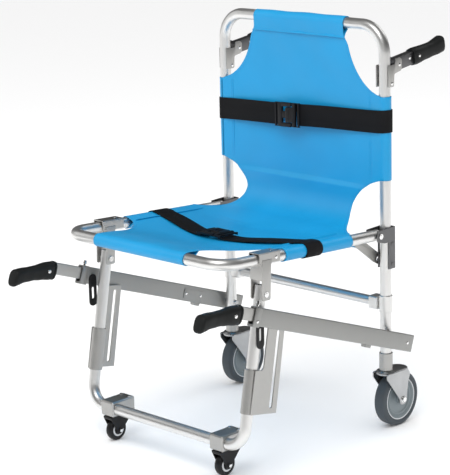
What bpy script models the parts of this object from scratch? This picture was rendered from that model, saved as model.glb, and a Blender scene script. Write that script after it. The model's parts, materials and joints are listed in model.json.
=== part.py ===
"""Folding stair chair: a tube frame with a fabric sling, four casters, and carrying handles front and rear.

Metres, +Z up, +X to the sitter's left, front towards -Y. Pieces are placed in the chair's own frame, whose
origin is on the floor midway between the uprights. The top empty then moves the whole chair so that the
middle of its footprint stands on the world origin.

Every body that moves hangs on an empty that lies on its joint's axis. The empties of sloping bodies are
tilted about X, so that their pieces are drawn level: local -Y runs along the body to its front end.
"""

from math import atan2, cos, pi, radians, sin, tan

import bmesh
import bpy
from mathutils import Matrix, Vector

# ---- driving dimensions -------------------------------------------------------------------------------
TUBE_R = 0.0125            # all frame tubes
GAP = 0.0004               # between faces that touch
SHEET = 0.0025             # bracket plate

BACK_HALF = 0.240          # upright axis from the middle
BACK_TOP = 0.9075          # top bar axis above the floor
BACK_BEND = 0.060
CROSSBAR_Z = 0.2911
CROSSBAR_R = 0.0105
SLEEVE_WALL = 0.0022
CROSS_SLEEVE_H = 0.038

SEAT_INSET = 0.002         # seat rail axis inside the upright's
SEAT_PIVOT = (-0.034, 0.452)
SEAT_SLOPE = radians(3.04)
SEAT_LENGTH = 0.4755       # pivot to front bar axis, along the seat
SEAT_BEND = 0.050
SEAT_TAIL = 0.006          # rail behind its pivot

LEG_INSET = 0.004          # leg axis inside the upright's
LEG_SETBACK = 0.1135       # leg pivot behind the seat's front bar, along the seat
LEG_PIVOT_DROP = 0.0723    # below the seat rail axis
LEG_LEAN = radians(10.6)
LEG_BEND = 0.045
LEG_HEAD = 0.018           # tube above its pivot

RAIL_SLOPE = radians(19.3)
RAIL_LEAD = 0.0556         # front mouth ahead of the leg pivot
RAIL_TAIL = 0.056          # behind the pivot
RAIL_H = 0.038
RAIL_T = 0.016
RAIL_WALL = 0.002
RAIL_CLEAR = 0.005         # between the upright and the rail
COLLAR = 0.019             # length of the mouth collar
COLLAR_PROUD = 0.0014

BAR_DROP = 0.003           # bar axis below the rail axis
BAR_INSIDE = 0.270         # bar kept in the rail with the handle home
BAR_OUT = {1: 0.034, -1: 0.072}    # bar shown between mouth and grip, by side
BAR_TONGUE = 0.060
GRIP_LENGTH = 0.125
GRIP_T = 0.030
GRIP_DROOP = radians(17.0)
PIN_R = 0.003

LEVER_SETBACK = 0.034      # lever pivot behind the rail's mouth
LEVER_LENGTH = 0.062
LEVER_W = 0.026

STRUT_BOTTOM, STRUT_TOP = -0.253, -0.066   # along the leg from its pivot
STRUT_SLEEVE_H = 0.094
STRUT_BACK = 0.070         # strut's rear edge behind the leg axis
STRUT_T = 0.003
STRUT_SLOT_W = 0.009

HOOK_CLEAR = 0.0065        # between the seat rail and the latch hook
LATCH_PIN = (0.002, 0.387)
LATCH_PIN_R = 0.004
LATCH_PIVOT_S = 0.046      # along the seat from its pivot
LATCH_PIVOT_DROP = 0.006

WHEEL_R = 0.0625
WHEEL_W = 0.030
TREAD = 0.0155
REAR_TRAIL = 0.035
AXLE_R = 0.004
SOCKET_H = 0.041

FRONT_CASTER_INSET = 0.066     # caster stem inside the leg axis
FRONT_STEM_SETBACK = 0.0277    # caster stem behind the bottom bar
FRONT_TRAIL = 0.018
FRONT_WHEEL_R = 0.025
FRONT_WHEEL_W = 0.019
FRONT_FORK_CROWN = 0.0098      # fork head above the wheel's top
BLOCK_W, BLOCK_ROOF = 0.040, 0.0066
BLOCK_LIP, BLOCK_TAIL = 0.0033, 0.0522

HANDLE_Y = 0.033
HANDLE_BELOW_TOP = 0.0855  # handle pivot under the top bar
HANDLE_SLOPE = radians(8.0)
HANDLE_ARM = 0.055         # pivot to the grip
HANDLE_ARM_H, HANDLE_ARM_T = 0.028, 0.018
HANDLE_GRIP = 0.110
HANDLE_BRACKET_H = 0.046   # below the pivot

SLING_T = 0.003
SEAT_SLING_Z = 0.0035      # underside of the seat panel above the rail axes
SHOULDER_DROP = 0.1495     # where the back panel reaches the uprights, under the top bar
WAIST_RISE = 0.115         # where it leaves them, above the seat pivot
STRAP_W, STRAP_T = 0.050, 0.0015
CHEST_STRAP_DROP = 0.2175  # under the top bar
LAP_STRAP_S = 0.197        # along the seat from its pivot
BUCKLE = (0.070, 0.009, 0.044)

BOLT_HEAD_R, BOLT_HEAD_H = 0.0065, 0.0016

# ---- sizes that follow --------------------------------------------------------------------------------
SEAT_HALF = BACK_HALF - SEAT_INSET
LEG_HALF = BACK_HALF - LEG_INSET
BRACKET_OUT = BACK_HALF + TUBE_R + GAP
BRACKET_IN = SEAT_HALF - TUBE_R - GAP
BRACKET_TOP = SEAT_PIVOT[1] + TUBE_R + 0.0025
BRACKET_STEP = SEAT_PIVOT[1] - TUBE_R - 0.0055
BRACKET_BOTTOM = LATCH_PIN[1] - 0.015
LEG_BRACKET_OUT = SEAT_HALF + TUBE_R + GAP
LEG_BRACKET_IN = LEG_HALF - TUBE_R - GAP
HOOK_X = SEAT_HALF - TUBE_R - HOOK_CLEAR
LEG_PIVOT_S = SEAT_LENGTH - LEG_SETBACK
LEG_PIVOT_Y = SEAT_PIVOT[0] - LEG_PIVOT_S * cos(SEAT_SLOPE) - LEG_PIVOT_DROP * sin(SEAT_SLOPE)

FORK_HEAD_Z = 2 * WHEEL_R + 0.0115
SOCKET_TOP = FORK_HEAD_Z + SOCKET_H
RAIL_PIVOT_Z = SOCKET_TOP + 0.0320
FRONT_HEAD_Z = 2 * FRONT_WHEEL_R + FRONT_FORK_CROWN
FRONT_CASTER_X = LEG_HALF - FRONT_CASTER_INSET
BOTTOM_BAR_Z = FRONT_HEAD_Z + TUBE_R + 0.0041

RAIL_LENGTH = (RAIL_LEAD - LEG_PIVOT_Y) / cos(RAIL_SLOPE)
RAIL_IN = BACK_HALF + TUBE_R + RAIL_CLEAR
RAIL_OUT = RAIL_IN + RAIL_T
RAIL_MID = RAIL_IN + RAIL_T / 2
BAR_H = RAIL_H - 2 * RAIL_WALL - 0.007
BAR_T = RAIL_T - 2 * RAIL_WALL - 0.002
LEVER_S = RAIL_LENGTH - LEVER_SETBACK

HANDLE_PIVOT = (HANDLE_Y, BACK_TOP - HANDLE_BELOW_TOP)
CHEST_STRAP_Z = BACK_TOP - CHEST_STRAP_DROP

# ---- scene, bodies and materials ----------------------------------------------------------------------
for old in list(bpy.data.objects):
    bpy.data.objects.remove(old, do_unlink=True)

parts = bpy.data.collections.new("stair_chair")
cutters = bpy.data.collections.new("cutters")
bpy.context.scene.collection.children.link(parts)
bpy.context.scene.collection.children.link(cutters)
cutters.hide_render = True

frames = {}
empties = {}


def body(name, parent=None, at=(0, 0, 0), tilt=0.0):
    """An empty at a place of the chair's frame, turned about X; pieces and other bodies hang on it."""
    empty = bpy.data.objects.new(name, None)
    empty.empty_display_size = 0.03
    parts.objects.link(empty)
    place = Matrix.Translation(at) @ Matrix.Rotation(tilt, 4, "X")
    frames[name] = place
    empties[name] = empty
    if parent:
        empty.parent = empties[parent]
        empty.matrix_parent_inverse = frames[parent].inverted()
    empty.matrix_basis = place
    return empty


def material(name, colour, roughness, metallic=0.0):
    made = bpy.data.materials.new(name)
    made.use_nodes = True
    made.diffuse_color = (*colour, 1)
    shader = made.node_tree.nodes["Principled BSDF"]
    shader.inputs["Base Color"].default_value = (*colour, 1)
    shader.inputs["Roughness"].default_value = roughness
    shader.inputs["Metallic"].default_value = metallic
    return made


ANODISED = material("anodised_tube", (0.72, 0.72, 0.71), 0.28, 1.0)
SATIN = material("satin_aluminium", (0.42, 0.42, 0.40), 0.45, 1.0)
DARK_ZINC = material("dark_zinc", (0.22, 0.22, 0.22), 0.40, 1.0)
STEEL = material("zinc_steel", (0.62, 0.62, 0.60), 0.25, 1.0)
BLACK_PLASTIC = material("black_plastic", (0.012, 0.012, 0.013), 0.45)
BLACK_RUBBER = material("black_rubber", (0.015, 0.015, 0.017), 0.60)
TYRE_GREY = material("tyre_grey", (0.055, 0.070, 0.080), 0.70)
HUB_GREY = material("hub_grey", (0.26, 0.30, 0.33), 0.45)
SLING_BLUE = material("sling_blue", (0.035, 0.30, 0.68), 0.50)
WEBBING = material("black_webbing", (0.010, 0.010, 0.012), 0.85)


def hang(piece, body_name, finish, local=True):
    """Parents a piece to a body. Its mesh is in the body's axes, or in the chair's where local is off."""
    piece.parent = empties[body_name]
    if not local:
        piece.matrix_parent_inverse = frames[body_name].inverted()
    piece.data.materials.clear()
    piece.data.materials.append(finish)
    piece.data.shade_smooth()
    piece.data.set_sharp_from_angle(angle=radians(35))
    return piece


# ---- shapes -------------------------------------------------------------------------------------------
def from_bmesh(name, bm):
    mesh = bpy.data.meshes.new(name)
    bm.to_mesh(mesh)
    bm.free()
    piece = bpy.data.objects.new(name, mesh)
    parts.objects.link(piece)
    return piece


def block(name, low, high):
    bm = bmesh.new()
    size = [h - l for l, h in zip(low, high)]
    middle = [(h + l) / 2 for l, h in zip(low, high)]
    bmesh.ops.create_cube(bm, size=1, matrix=Matrix.Translation(middle) @ Matrix.Diagonal((*size, 1)))
    return from_bmesh(name, bm)


def rod(name, start, end, radius, end_radius=None, sides=16):
    """A cylinder or cone between two points."""
    start, end = Vector(start), Vector(end)
    run = end - start
    turn = run.to_track_quat("Z", "Y").to_matrix().to_4x4()
    bm = bmesh.new()
    bmesh.ops.create_cone(
        bm, cap_ends=True, segments=sides, radius1=radius, radius2=radius if end_radius is None else end_radius,
        depth=run.length, matrix=Matrix.Translation((start + end) / 2) @ turn)
    return from_bmesh(name, bm)


def mesh_of(piece):
    """Replaces a curve, or an object with modifiers, by its plain welded mesh."""
    bpy.context.view_layer.update()
    graph = bpy.context.evaluated_depsgraph_get()
    mesh = bpy.data.meshes.new_from_object(piece.evaluated_get(graph))
    mesh.transform(piece.matrix_world)
    bm = bmesh.new()
    bm.from_mesh(mesh)
    bmesh.ops.remove_doubles(bm, verts=bm.verts, dist=1e-6)
    bm.to_mesh(mesh)
    bm.free()
    name = piece.name
    bpy.data.objects.remove(piece, do_unlink=True)
    mesh.name = name
    plain = bpy.data.objects.new(name, mesh)
    parts.objects.link(plain)
    return plain


PLANES = {    # where an outline's first, second and thickness directions go
    "yz": Matrix(((0, 0, 1), (1, 0, 0), (0, 1, 0))),
    "xz": Matrix(((1, 0, 0), (0, 0, -1), (0, 1, 0))),
    "xy": Matrix.Identity(3),
}


def plate(name, outline, low, high, plane="yz", holes=()):
    """A flat outline with holes, as thick as from low to high across its plane."""
    curve = bpy.data.curves.new(name, "CURVE")
    curve.dimensions = "2D"
    curve.fill_mode = "BOTH"
    curve.extrude = (high - low) / 2
    for loop in (outline, *holes):
        spline = curve.splines.new("POLY")
        spline.points.add(len(loop) - 1)
        for point, (u, v) in zip(spline.points, loop):
            point.co = (u, v, 0, 1)
        spline.use_cyclic_u = True
    piece = bpy.data.objects.new(name, curve)
    parts.objects.link(piece)
    through = {"yz": Vector((1, 0, 0)), "xz": Vector((0, 1, 0)), "xy": Vector((0, 0, 1))}[plane]
    piece.matrix_basis = Matrix.Translation(through * (low + high) / 2) @ PLANES[plane].to_4x4()
    return mesh_of(piece)


def circle(centre, radius, sides=12, start=0.0, sweep=2 * pi):
    """Points round a circle, or along an arc of it where sweep is less than a turn."""
    whole = abs(sweep) > 6.28
    steps = sides if whole else sides + 1
    angles = [start + sweep * i / sides for i in range(steps)]
    return [(centre[0] + radius * cos(a), centre[1] + radius * sin(a)) for a in angles]


def slot(low, high, width):
    """A round-ended slot outline between two points of its plane."""
    lean = atan2(high[1] - low[1], high[0] - low[0])
    return (circle(high, width / 2, 6, lean - pi / 2, pi) + circle(low, width / 2, 6, lean + pi / 2, pi))


def bent(corners, radius, steps=6):
    """The corners of a path with each inner one rounded to the radius."""
    corners = [Vector(c) for c in corners]
    path = [corners[0]]
    for before, corner, after in zip(corners, corners[1:], corners[2:]):
        back, ahead = (before - corner).normalized(), (after - corner).normalized()
        half = back.angle(ahead) / 2
        centre = corner + (back + ahead).normalized() * radius / sin(half)
        start = corner + back * radius / tan(half) - centre
        end = corner + ahead * radius / tan(half) - centre
        turn = start.angle(end)
        for i in range(steps + 1):
            t = i / steps
            path.append(centre + (start * sin((1 - t) * turn) + end * sin(t * turn)) / sin(turn))
    return path + [corners[-1]]


def tube(name, path, radius):
    curve = bpy.data.curves.new(name, "CURVE")
    curve.dimensions = "3D"
    curve.bevel_depth = radius
    curve.bevel_resolution = 4
    curve.use_fill_caps = True
    spline = curve.splines.new("POLY")
    spline.points.add(len(path) - 1)
    for point, place in zip(spline.points, path):
        point.co = (*place, 1)
    piece = bpy.data.objects.new(name, curve)
    parts.objects.link(piece)
    return mesh_of(piece)


def turned(name, profile, place, steps=24):
    """A closed profile of (radius, height) turned about its axis; place moves that axis from Z."""
    bm = bmesh.new()
    points = [bm.verts.new((r, 0, h)) for r, h in profile]
    for a, b in zip(points, points[1:] + points[:1]):
        bm.edges.new((a, b))
    piece = from_bmesh(name, bm)
    screw = piece.modifiers.new("turn", "SCREW")
    screw.steps = screw.render_steps = steps
    screw.use_merge_vertices = True
    screw.merge_threshold = 0.00001
    piece.matrix_basis = place
    return mesh_of(piece)


def along_x(x, y, z):
    """The place of an axis that runs along X through a point."""
    return Matrix.Translation((x, y, z)) @ Matrix.Rotation(pi / 2, 4, "Y")


def combine(piece, others, operation):
    for other in others:
        cutters.objects.link(other)
        parts.objects.unlink(other)
        other.hide_render = True
        other.display_type = "WIRE"
        change = piece.modifiers.new(other.name, "BOOLEAN")
        change.operation = operation
        change.object = other
    made = mesh_of(piece)
    for other in others:
        bpy.data.objects.remove(other, do_unlink=True)
    return made


def cut(piece, *others):
    return combine(piece, others, "DIFFERENCE")


def joined(piece, *others):
    return combine(piece, others, "UNION")


def rounded(piece, width, segments=2):
    bevel = piece.modifiers.new("round", "BEVEL")
    bevel.width = width
    bevel.segments = segments
    bevel.limit_method = "ANGLE"
    bevel.angle_limit = radians(40)
    return mesh_of(piece)


def across(side, near, far):
    """Low and high x of a stretch given as distances from the middle, on one side."""
    return (near, far) if side > 0 else (-far, -near)


def x_rod(name, side, near, far, y, z, radius, sides=16):
    return rod(name, (side * near, y, z), (side * far, y, z), radius, sides=sides)


def x_plate(name, side, near, far, outline, holes=()):
    low, high = across(side, near, far)
    return plate(name, outline, low, high, "yz", holes)


def bolt(name, side, near, far, y, z, radius):
    """A shank from near to far with a domed head at each end, outside those faces."""
    shank = x_rod("shank", side, near - 0.001, far + 0.001, y, z, radius, 12)
    inner = x_rod("inner_head", side, near - GAP - BOLT_HEAD_H, near - GAP, y, z, BOLT_HEAD_R, 12)
    outer = x_rod("outer_head", side, far + GAP, far + GAP + BOLT_HEAD_H, y, z, BOLT_HEAD_R, 12)
    made = joined(shank, inner, outer)
    made.name = name
    return made


def sides():
    return ((-1, "right"), (1, "left"))


# ---- bodies -------------------------------------------------------------------------------------------
body("stair_chair")
body("back", "stair_chair")
body("seat", "back", (0, *SEAT_PIVOT), -SEAT_SLOPE)
leg_pivot = frames["seat"] @ Vector((0, -LEG_PIVOT_S, -LEG_PIVOT_DROP))
LEG_LENGTH = (leg_pivot.z - BOTTOM_BAR_Z) / cos(LEG_LEAN)
body("legs", "seat", leg_pivot, -LEG_LEAN)
latch_pivot = frames["seat"] @ Vector((0, -LATCH_PIVOT_S, -LATCH_PIVOT_DROP))
body("latch", "seat", latch_pivot)
BOTTOM_BAR = frames["legs"] @ Vector((0, 0, -LEG_LENGTH))
FRONT_STEM_Y = BOTTOM_BAR.y + FRONT_STEM_SETBACK


# ---- frame tubes --------------------------------------------------------------------------------------
def pin_holes(y, z, radius, half):
    return [x_rod("hole", side, half - 0.03, half + 0.03, y, z, radius + GAP) for side in (-1, 1)]


def make_back_frame():
    foot = FORK_HEAD_Z + 0.0145
    path = bent([(-BACK_HALF, 0, foot), (-BACK_HALF, 0, BACK_TOP), (BACK_HALF, 0, BACK_TOP),
                 (BACK_HALF, 0, foot)], BACK_BEND)
    piece = tube("back_frame", path, TUBE_R)
    hang(cut(piece, *pin_holes(0, RAIL_PIVOT_Z, AXLE_R, BACK_HALF)), "back", ANODISED)


def make_crossbar():
    """The crossbar and the sleeves at its ends, which fit round the uprights."""
    reach = BACK_HALF - TUBE_R - GAP
    bar = rod("rear_crossbar", (-reach, 0, CROSSBAR_Z), (reach, 0, CROSSBAR_Z), CROSSBAR_R, sides=12)
    low, high = -CROSS_SLEEVE_H / 2, CROSS_SLEEVE_H / 2
    bore, skin = TUBE_R + GAP, TUBE_R + GAP + SLEEVE_WALL
    ring = [(skin, high), (skin, low), (bore, low), (bore, high)]
    sleeves = [turned("sleeve", ring, Matrix.Translation((s * BACK_HALF, 0, CROSSBAR_Z))) for s in (-1, 1)]
    bosses = [rod("boss", (s * (reach - 0.024), 0, CROSSBAR_Z), (s * (reach - 0.0012), 0, CROSSBAR_Z),
                  CROSSBAR_R + 0.003) for s in (-1, 1)]
    bar = joined(bar, *bosses, *sleeves)
    bar.name = "rear_crossbar"
    hang(bar, "back", ANODISED)


def make_seat_frame():
    path = bent([(-SEAT_HALF, SEAT_TAIL, 0), (-SEAT_HALF, -SEAT_LENGTH, 0), (SEAT_HALF, -SEAT_LENGTH, 0),
                 (SEAT_HALF, SEAT_TAIL, 0)], SEAT_BEND)
    piece = tube("seat_frame", path, TUBE_R)
    latch_holes = pin_holes(-LATCH_PIVOT_S, -LATCH_PIVOT_DROP, PIN_R, SEAT_HALF)
    hang(cut(piece, *pin_holes(0, 0, AXLE_R, SEAT_HALF), *latch_holes), "seat", ANODISED)


def make_leg_frame():
    path = bent([(-LEG_HALF, 0, LEG_HEAD), (-LEG_HALF, 0, -LEG_LENGTH), (LEG_HALF, 0, -LEG_LENGTH),
                 (LEG_HALF, 0, LEG_HEAD)], LEG_BEND)
    piece = tube("leg_frame", path, TUBE_R)
    hang(cut(piece, *pin_holes(0, 0, AXLE_R, LEG_HALF)), "legs", ANODISED)


# ---- brackets -----------------------------------------------------------------------------------------
def make_seat_bracket(side, word):
    """A channel round the upright, deep at the top where the seat pivots and shallow below."""
    back = TUBE_R + GAP + SHEET
    nose = SEAT_PIVOT[0] - 0.011
    outline = [(back, BRACKET_BOTTOM), (back, BRACKET_TOP), (nose, BRACKET_TOP - 0.002),
               (nose, SEAT_PIVOT[1] - 0.011), (-0.020, BRACKET_STEP), (-0.006, BRACKET_STEP),
               (-0.006, BRACKET_BOTTOM)]
    piece = x_plate(f"seat_bracket_{word}", side, BRACKET_IN - SHEET, BRACKET_OUT + SHEET, outline)
    low, high = across(side, BRACKET_IN, BRACKET_OUT)
    inside = block("inside", (low, nose - 0.01, BRACKET_BOTTOM - 0.01), (high, back - SHEET, BRACKET_TOP + 0.01))
    piece = cut(piece, inside)
    hole = x_rod("hole", side, BRACKET_IN - 0.01, BRACKET_OUT + 0.01, *SEAT_PIVOT, AXLE_R + GAP, 12)
    piece = cut(piece, hole)
    heads = [x_rod("head", side, BRACKET_OUT + SHEET - 0.001, BRACKET_OUT + SHEET + 0.0012, 0.006, z,
                   0.005, 12) for z in (BRACKET_STEP - 0.006, BRACKET_BOTTOM + 0.010)]
    pin = x_rod("pin", side, HOOK_X - 0.003, BRACKET_IN - SHEET / 2, *LATCH_PIN, LATCH_PIN_R, 12)
    piece = joined(piece, *heads, pin)
    piece.name = f"seat_bracket_{word}"
    hang(piece, "back", DARK_ZINC, local=False)
    pivot = bolt(f"seat_pivot_bolt_{word}", side, BRACKET_IN - SHEET, BRACKET_OUT + SHEET, *SEAT_PIVOT, AXLE_R)
    hang(pivot, "back", STEEL, local=False)


def make_leg_bracket(side, word):
    """A saddle over the seat rail with a channel below it for the top of the leg."""
    y, z = leg_pivot.y, leg_pivot.z
    top = z + LEG_PIVOT_DROP + TUBE_R + 0.0045
    belly = top - 0.034
    front = y - 0.0232
    outline = [(y + 0.014, z - 0.009), (y + 0.014, belly), (y + 0.062, belly + 0.004), (y + 0.062, top - 0.006),
               (y - 0.017, top), (y - 0.017, belly + 0.002), (front, belly), (front, z - 0.009)]
    piece = x_plate(f"leg_bracket_{word}", side, LEG_BRACKET_IN - SHEET, LEG_BRACKET_OUT + SHEET, outline)
    low, high = across(side, LEG_BRACKET_IN, LEG_BRACKET_OUT)
    slope = tan(SEAT_SLOPE)
    roof = frames["seat"] @ Vector((0, -LEG_PIVOT_S, TUBE_R + GAP))
    ceiling = [(y + d, roof.z - slope * d) for d in (0.10, -0.05)]
    floor = z - 0.02
    hollow_outline = [(front + SHEET, floor), (y + 0.10, floor), ceiling[0], ceiling[1], (y - 0.05, belly - 0.001),
                      (front + SHEET, belly - 0.001)]
    hollow = plate("hollow", hollow_outline, low, high)
    window = block("window", (low, front - 0.01, floor), (high, y - 0.005, z + 0.029))
    hole = x_rod("hole", side, LEG_BRACKET_IN - 0.01, LEG_BRACKET_OUT + 0.01, y, z, AXLE_R + GAP, 12)
    piece = cut(piece, hollow, window, hole)
    rivet_at = (y + 0.048, top - 0.020)
    rivet = x_rod("rivet", side, LEG_BRACKET_OUT + SHEET - 0.001, LEG_BRACKET_OUT + SHEET + 0.0012, *rivet_at,
                  0.0045, 12)
    piece = joined(piece, rivet)
    piece.name = f"leg_bracket_{word}"
    hang(piece, "seat", SATIN, local=False)
    pivot = bolt(f"leg_pivot_bolt_{word}", side, LEG_BRACKET_IN - SHEET, LEG_BRACKET_OUT + SHEET, y, z, AXLE_R)
    hang(pivot, "seat", STEEL, local=False)


# ---- struts on the legs -------------------------------------------------------------------------------
def make_strut(side, word):
    """A sleeve round the leg and a slotted plate behind it."""
    sleeve_top = STRUT_BOTTOM + STRUT_SLEEVE_H
    shoulder = TUBE_R + 0.0045
    near = LEG_HALF + TUBE_R + 0.0020
    outline = [(-0.008, STRUT_BOTTOM), (STRUT_BACK, STRUT_BOTTOM), (STRUT_BACK - 0.002, STRUT_TOP),
               (shoulder, STRUT_TOP), (shoulder, sleeve_top + 0.006), (shoulder - 0.006, sleeve_top),
               (-0.008, sleeve_top)]
    slot_b = STRUT_BACK - 0.0195
    window = slot((slot_b, STRUT_BOTTOM + 0.016), (slot_b, STRUT_TOP - 0.014), STRUT_SLOT_W)
    piece = x_plate(f"strut_{word}", side, near, near + STRUT_T, outline, (window,))
    bore, skin = TUBE_R + GAP, TUBE_R + GAP + SLEEVE_WALL
    ring = [(skin, sleeve_top), (skin, STRUT_BOTTOM), (bore, STRUT_BOTTOM), (bore, sleeve_top)]
    sleeve = turned("sleeve", ring, Matrix.Translation((side * LEG_HALF, 0, 0)))
    piece = joined(piece, sleeve)
    piece.name = f"strut_{word}"
    hang(piece, "legs", SATIN)


# ---- seat latch ---------------------------------------------------------------------------------------
def make_latch():
    """Two hooks that hang on the seat rails and catch the pins of the seat brackets, and the rod between."""
    pin = Vector((0, *LATCH_PIN)) - latch_pivot
    along = Vector((pin.y, pin.z)).normalized()
    square = Vector((-along.y, along.x))

    def at(s, p):
        """s runs from the pivot to the pin, p square to it on the upper side."""
        return tuple(along * s + square * p)

    reach = Vector((pin.y, pin.z)).length
    gap = LATCH_PIN_R + 0.0008
    outline = ([at(-0.009, -0.012), at(reach - 0.020, -0.013), at(reach + 0.012, -gap - 0.004),
                at(reach + 0.012, -gap), at(reach - 0.010, -gap), at(reach - 0.012, 0.0),
                at(reach - 0.010, gap), at(reach - 0.0062, gap), at(reach - 0.0085, 0.012), at(-0.006, 0.010)])
    for side, word in sides():
        hook = x_plate(f"latch_hook_{word}", side, HOOK_X, HOOK_X + SHEET, outline)
        stud = x_rod("stud", side, HOOK_X + SHEET / 2, SEAT_HALF, 0, 0, PIN_R, 12)
        hook = joined(hook, stud)
        hook.name = f"latch_hook_{word}"
        hang(hook, "latch", SATIN)
    rod_y, rod_z = at(0.026, -0.0085)
    inner = HOOK_X - 0.0003
    hang(rod("latch_rod", (-inner, rod_y, rod_z), (inner, rod_y, rod_z), 0.003, sides=10), "latch", STEEL)


# ---- carrying rails and front handles -----------------------------------------------------------------
def make_rail(side, word):
    name = f"rail_{word}"
    body(name, "back", (0, 0, RAIL_PIVOT_Z), -RAIL_SLOPE)
    low, high = across(side, RAIL_IN, RAIL_OUT)
    half = RAIL_H / 2
    piece = block(f"carry_rail_{word}", (low, -RAIL_LENGTH, -half), (high, RAIL_TAIL, half))
    collar = block("collar", (low - COLLAR_PROUD, -RAIL_LENGTH - 0.0005, -half - 0.004),
                   (high + COLLAR_PROUD, -RAIL_LENGTH + COLLAR, half + COLLAR_PROUD))
    lug = block("lug", (low, -0.105, -half - 0.007), (high, -0.090, -half + 0.001))
    rivet = x_rod("rivet", side, RAIL_OUT - 0.001, RAIL_OUT + 0.0012, RAIL_TAIL - 0.016, 0, 0.0045, 12)
    piece = joined(piece, collar, lug, rivet)
    bore_low, bore_high = across(side, RAIL_IN + RAIL_WALL, RAIL_OUT - RAIL_WALL)
    bore = block("bore", (bore_low, -RAIL_LENGTH - 0.02, -half + RAIL_WALL),
                 (bore_high, RAIL_TAIL + 0.02, half - RAIL_WALL))
    bolt_hole = x_rod("bolt_hole", side, RAIL_IN - 0.005, RAIL_IN + 0.004, 0, 0, AXLE_R + GAP, 12)
    lever_hole = x_rod("lever_hole", side, RAIL_IN - 0.005, RAIL_IN + 0.004, -LEVER_S, -0.006, PIN_R + GAP, 12)
    pin_at = (side * RAIL_MID, -RAIL_LENGTH + COLLAR / 2)
    pin_hole = rod("pin_hole", (*pin_at, 0.010), (*pin_at, 0.030), PIN_R + GAP, sides=12)
    piece = cut(piece, bore, bolt_hole, lever_hole, pin_hole)
    piece.name = f"carry_rail_{word}"
    hang(piece, name, SATIN)

    head_in = BACK_HALF - TUBE_R - GAP
    pivot = joined(
        x_rod(f"rail_pivot_bolt_{word}", side, head_in - 0.001, RAIL_IN + RAIL_WALL + 0.0015, 0, 0, AXLE_R, 12),
        x_rod("nut", side, head_in - 0.005, head_in, 0, 0, 0.0065, 6),
        x_rod("head", side, RAIL_IN + RAIL_WALL + GAP, RAIL_IN + RAIL_WALL + 0.004, 0, 0, 0.007, 12))
    pivot.name = f"rail_pivot_bolt_{word}"
    pivot.matrix_basis = Matrix.Translation((0, 0, RAIL_PIVOT_Z))
    hang(pivot, "back", STEEL)
    return pin_at


def grip_outline(length, root, waist, tip, droop, bulge=0.0):
    """Side view of a moulded grip that starts at local y = 0 and runs to -y: a deep root, a waist, a tip."""
    stations = [(0.0, root, bulge), (0.16, root * 1.04, bulge), (0.38, waist * 1.08, 0.0), (0.60, waist, 0.0),
                (0.82, tip, 0.001), (0.95, tip * 0.98, 0.003), (1.0, tip * 0.80, 0.004)]
    upper = [(-t * length, h / 2 - t * length * tan(droop)) for t, h, _ in stations]
    lower = [(-t * length, -h / 2 - t * length * tan(droop) - drop) for t, h, drop in stations]
    return upper + lower[::-1]


def make_front_handle(side, word):
    """The sliding bar with its grip; it starts outside the rail's mouth by the amount shown at rest."""
    name = f"front_handle_{word}"
    mouth = frames[f"rail_{word}"] @ Vector((0, -RAIL_LENGTH, -BAR_DROP))
    body(name, f"rail_{word}", mouth, -RAIL_SLOPE)
    low, high = across(side, RAIL_MID - BAR_T / 2, RAIL_MID + BAR_T / 2)
    out = BAR_OUT[side]
    home = min(BAR_OUT.values())
    bar = block(f"sliding_bar_{word}", (low, -out, -BAR_H / 2), (high, BAR_INSIDE - (out - home), BAR_H / 2))
    tongue_low, tongue_high = across(side, RAIL_MID - 0.003, RAIL_MID + 0.003)
    bar = joined(bar, block("tongue", (tongue_low, -out - BAR_TONGUE, -0.010), (tongue_high, -out + 0.002, 0.006)))
    bar.name = f"sliding_bar_{word}"
    hang(bar, name, SATIN)

    outline = [(y - out - GAP, z) for y, z in grip_outline(GRIP_LENGTH, 0.040, 0.031, 0.036, GRIP_DROOP, 0.006)]
    low, high = across(side, RAIL_MID - GRIP_T / 2, RAIL_MID + GRIP_T / 2)
    grip = rounded(plate(f"front_grip_{word}", outline, low, high), 0.007)
    pocket_low, pocket_high = across(side, RAIL_MID - 0.003 - GAP, RAIL_MID + 0.003 + GAP)
    pocket = block("pocket", (pocket_low, -out - BAR_TONGUE - 0.001, -0.010 - GAP), (pocket_high, -out + 0.01, 0.006 + GAP))
    grip = cut(grip, pocket)
    grip.name = f"front_grip_{word}"
    hang(grip, name, BLACK_RUBBER)


def make_stop_pin(side, word, pin_at):
    name = f"stop_pin_body_{word}"
    base = BAR_H / 2 - BAR_DROP + GAP
    body(name, f"rail_{word}", frames[f"rail_{word}"] @ Vector((0, pin_at[1], base)), -RAIL_SLOPE)
    shank = rod(f"stop_pin_{word}", (pin_at[0], 0, 0), (pin_at[0], 0, 0.018), PIN_R, sides=12)
    knob = rod("knob", (pin_at[0], 0, 0.0135), (pin_at[0], 0, 0.021), 0.0045, 0.0035, sides=12)
    pin = joined(shank, knob)
    pin.name = f"stop_pin_{word}"
    hang(pin, name, STEEL)


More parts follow.
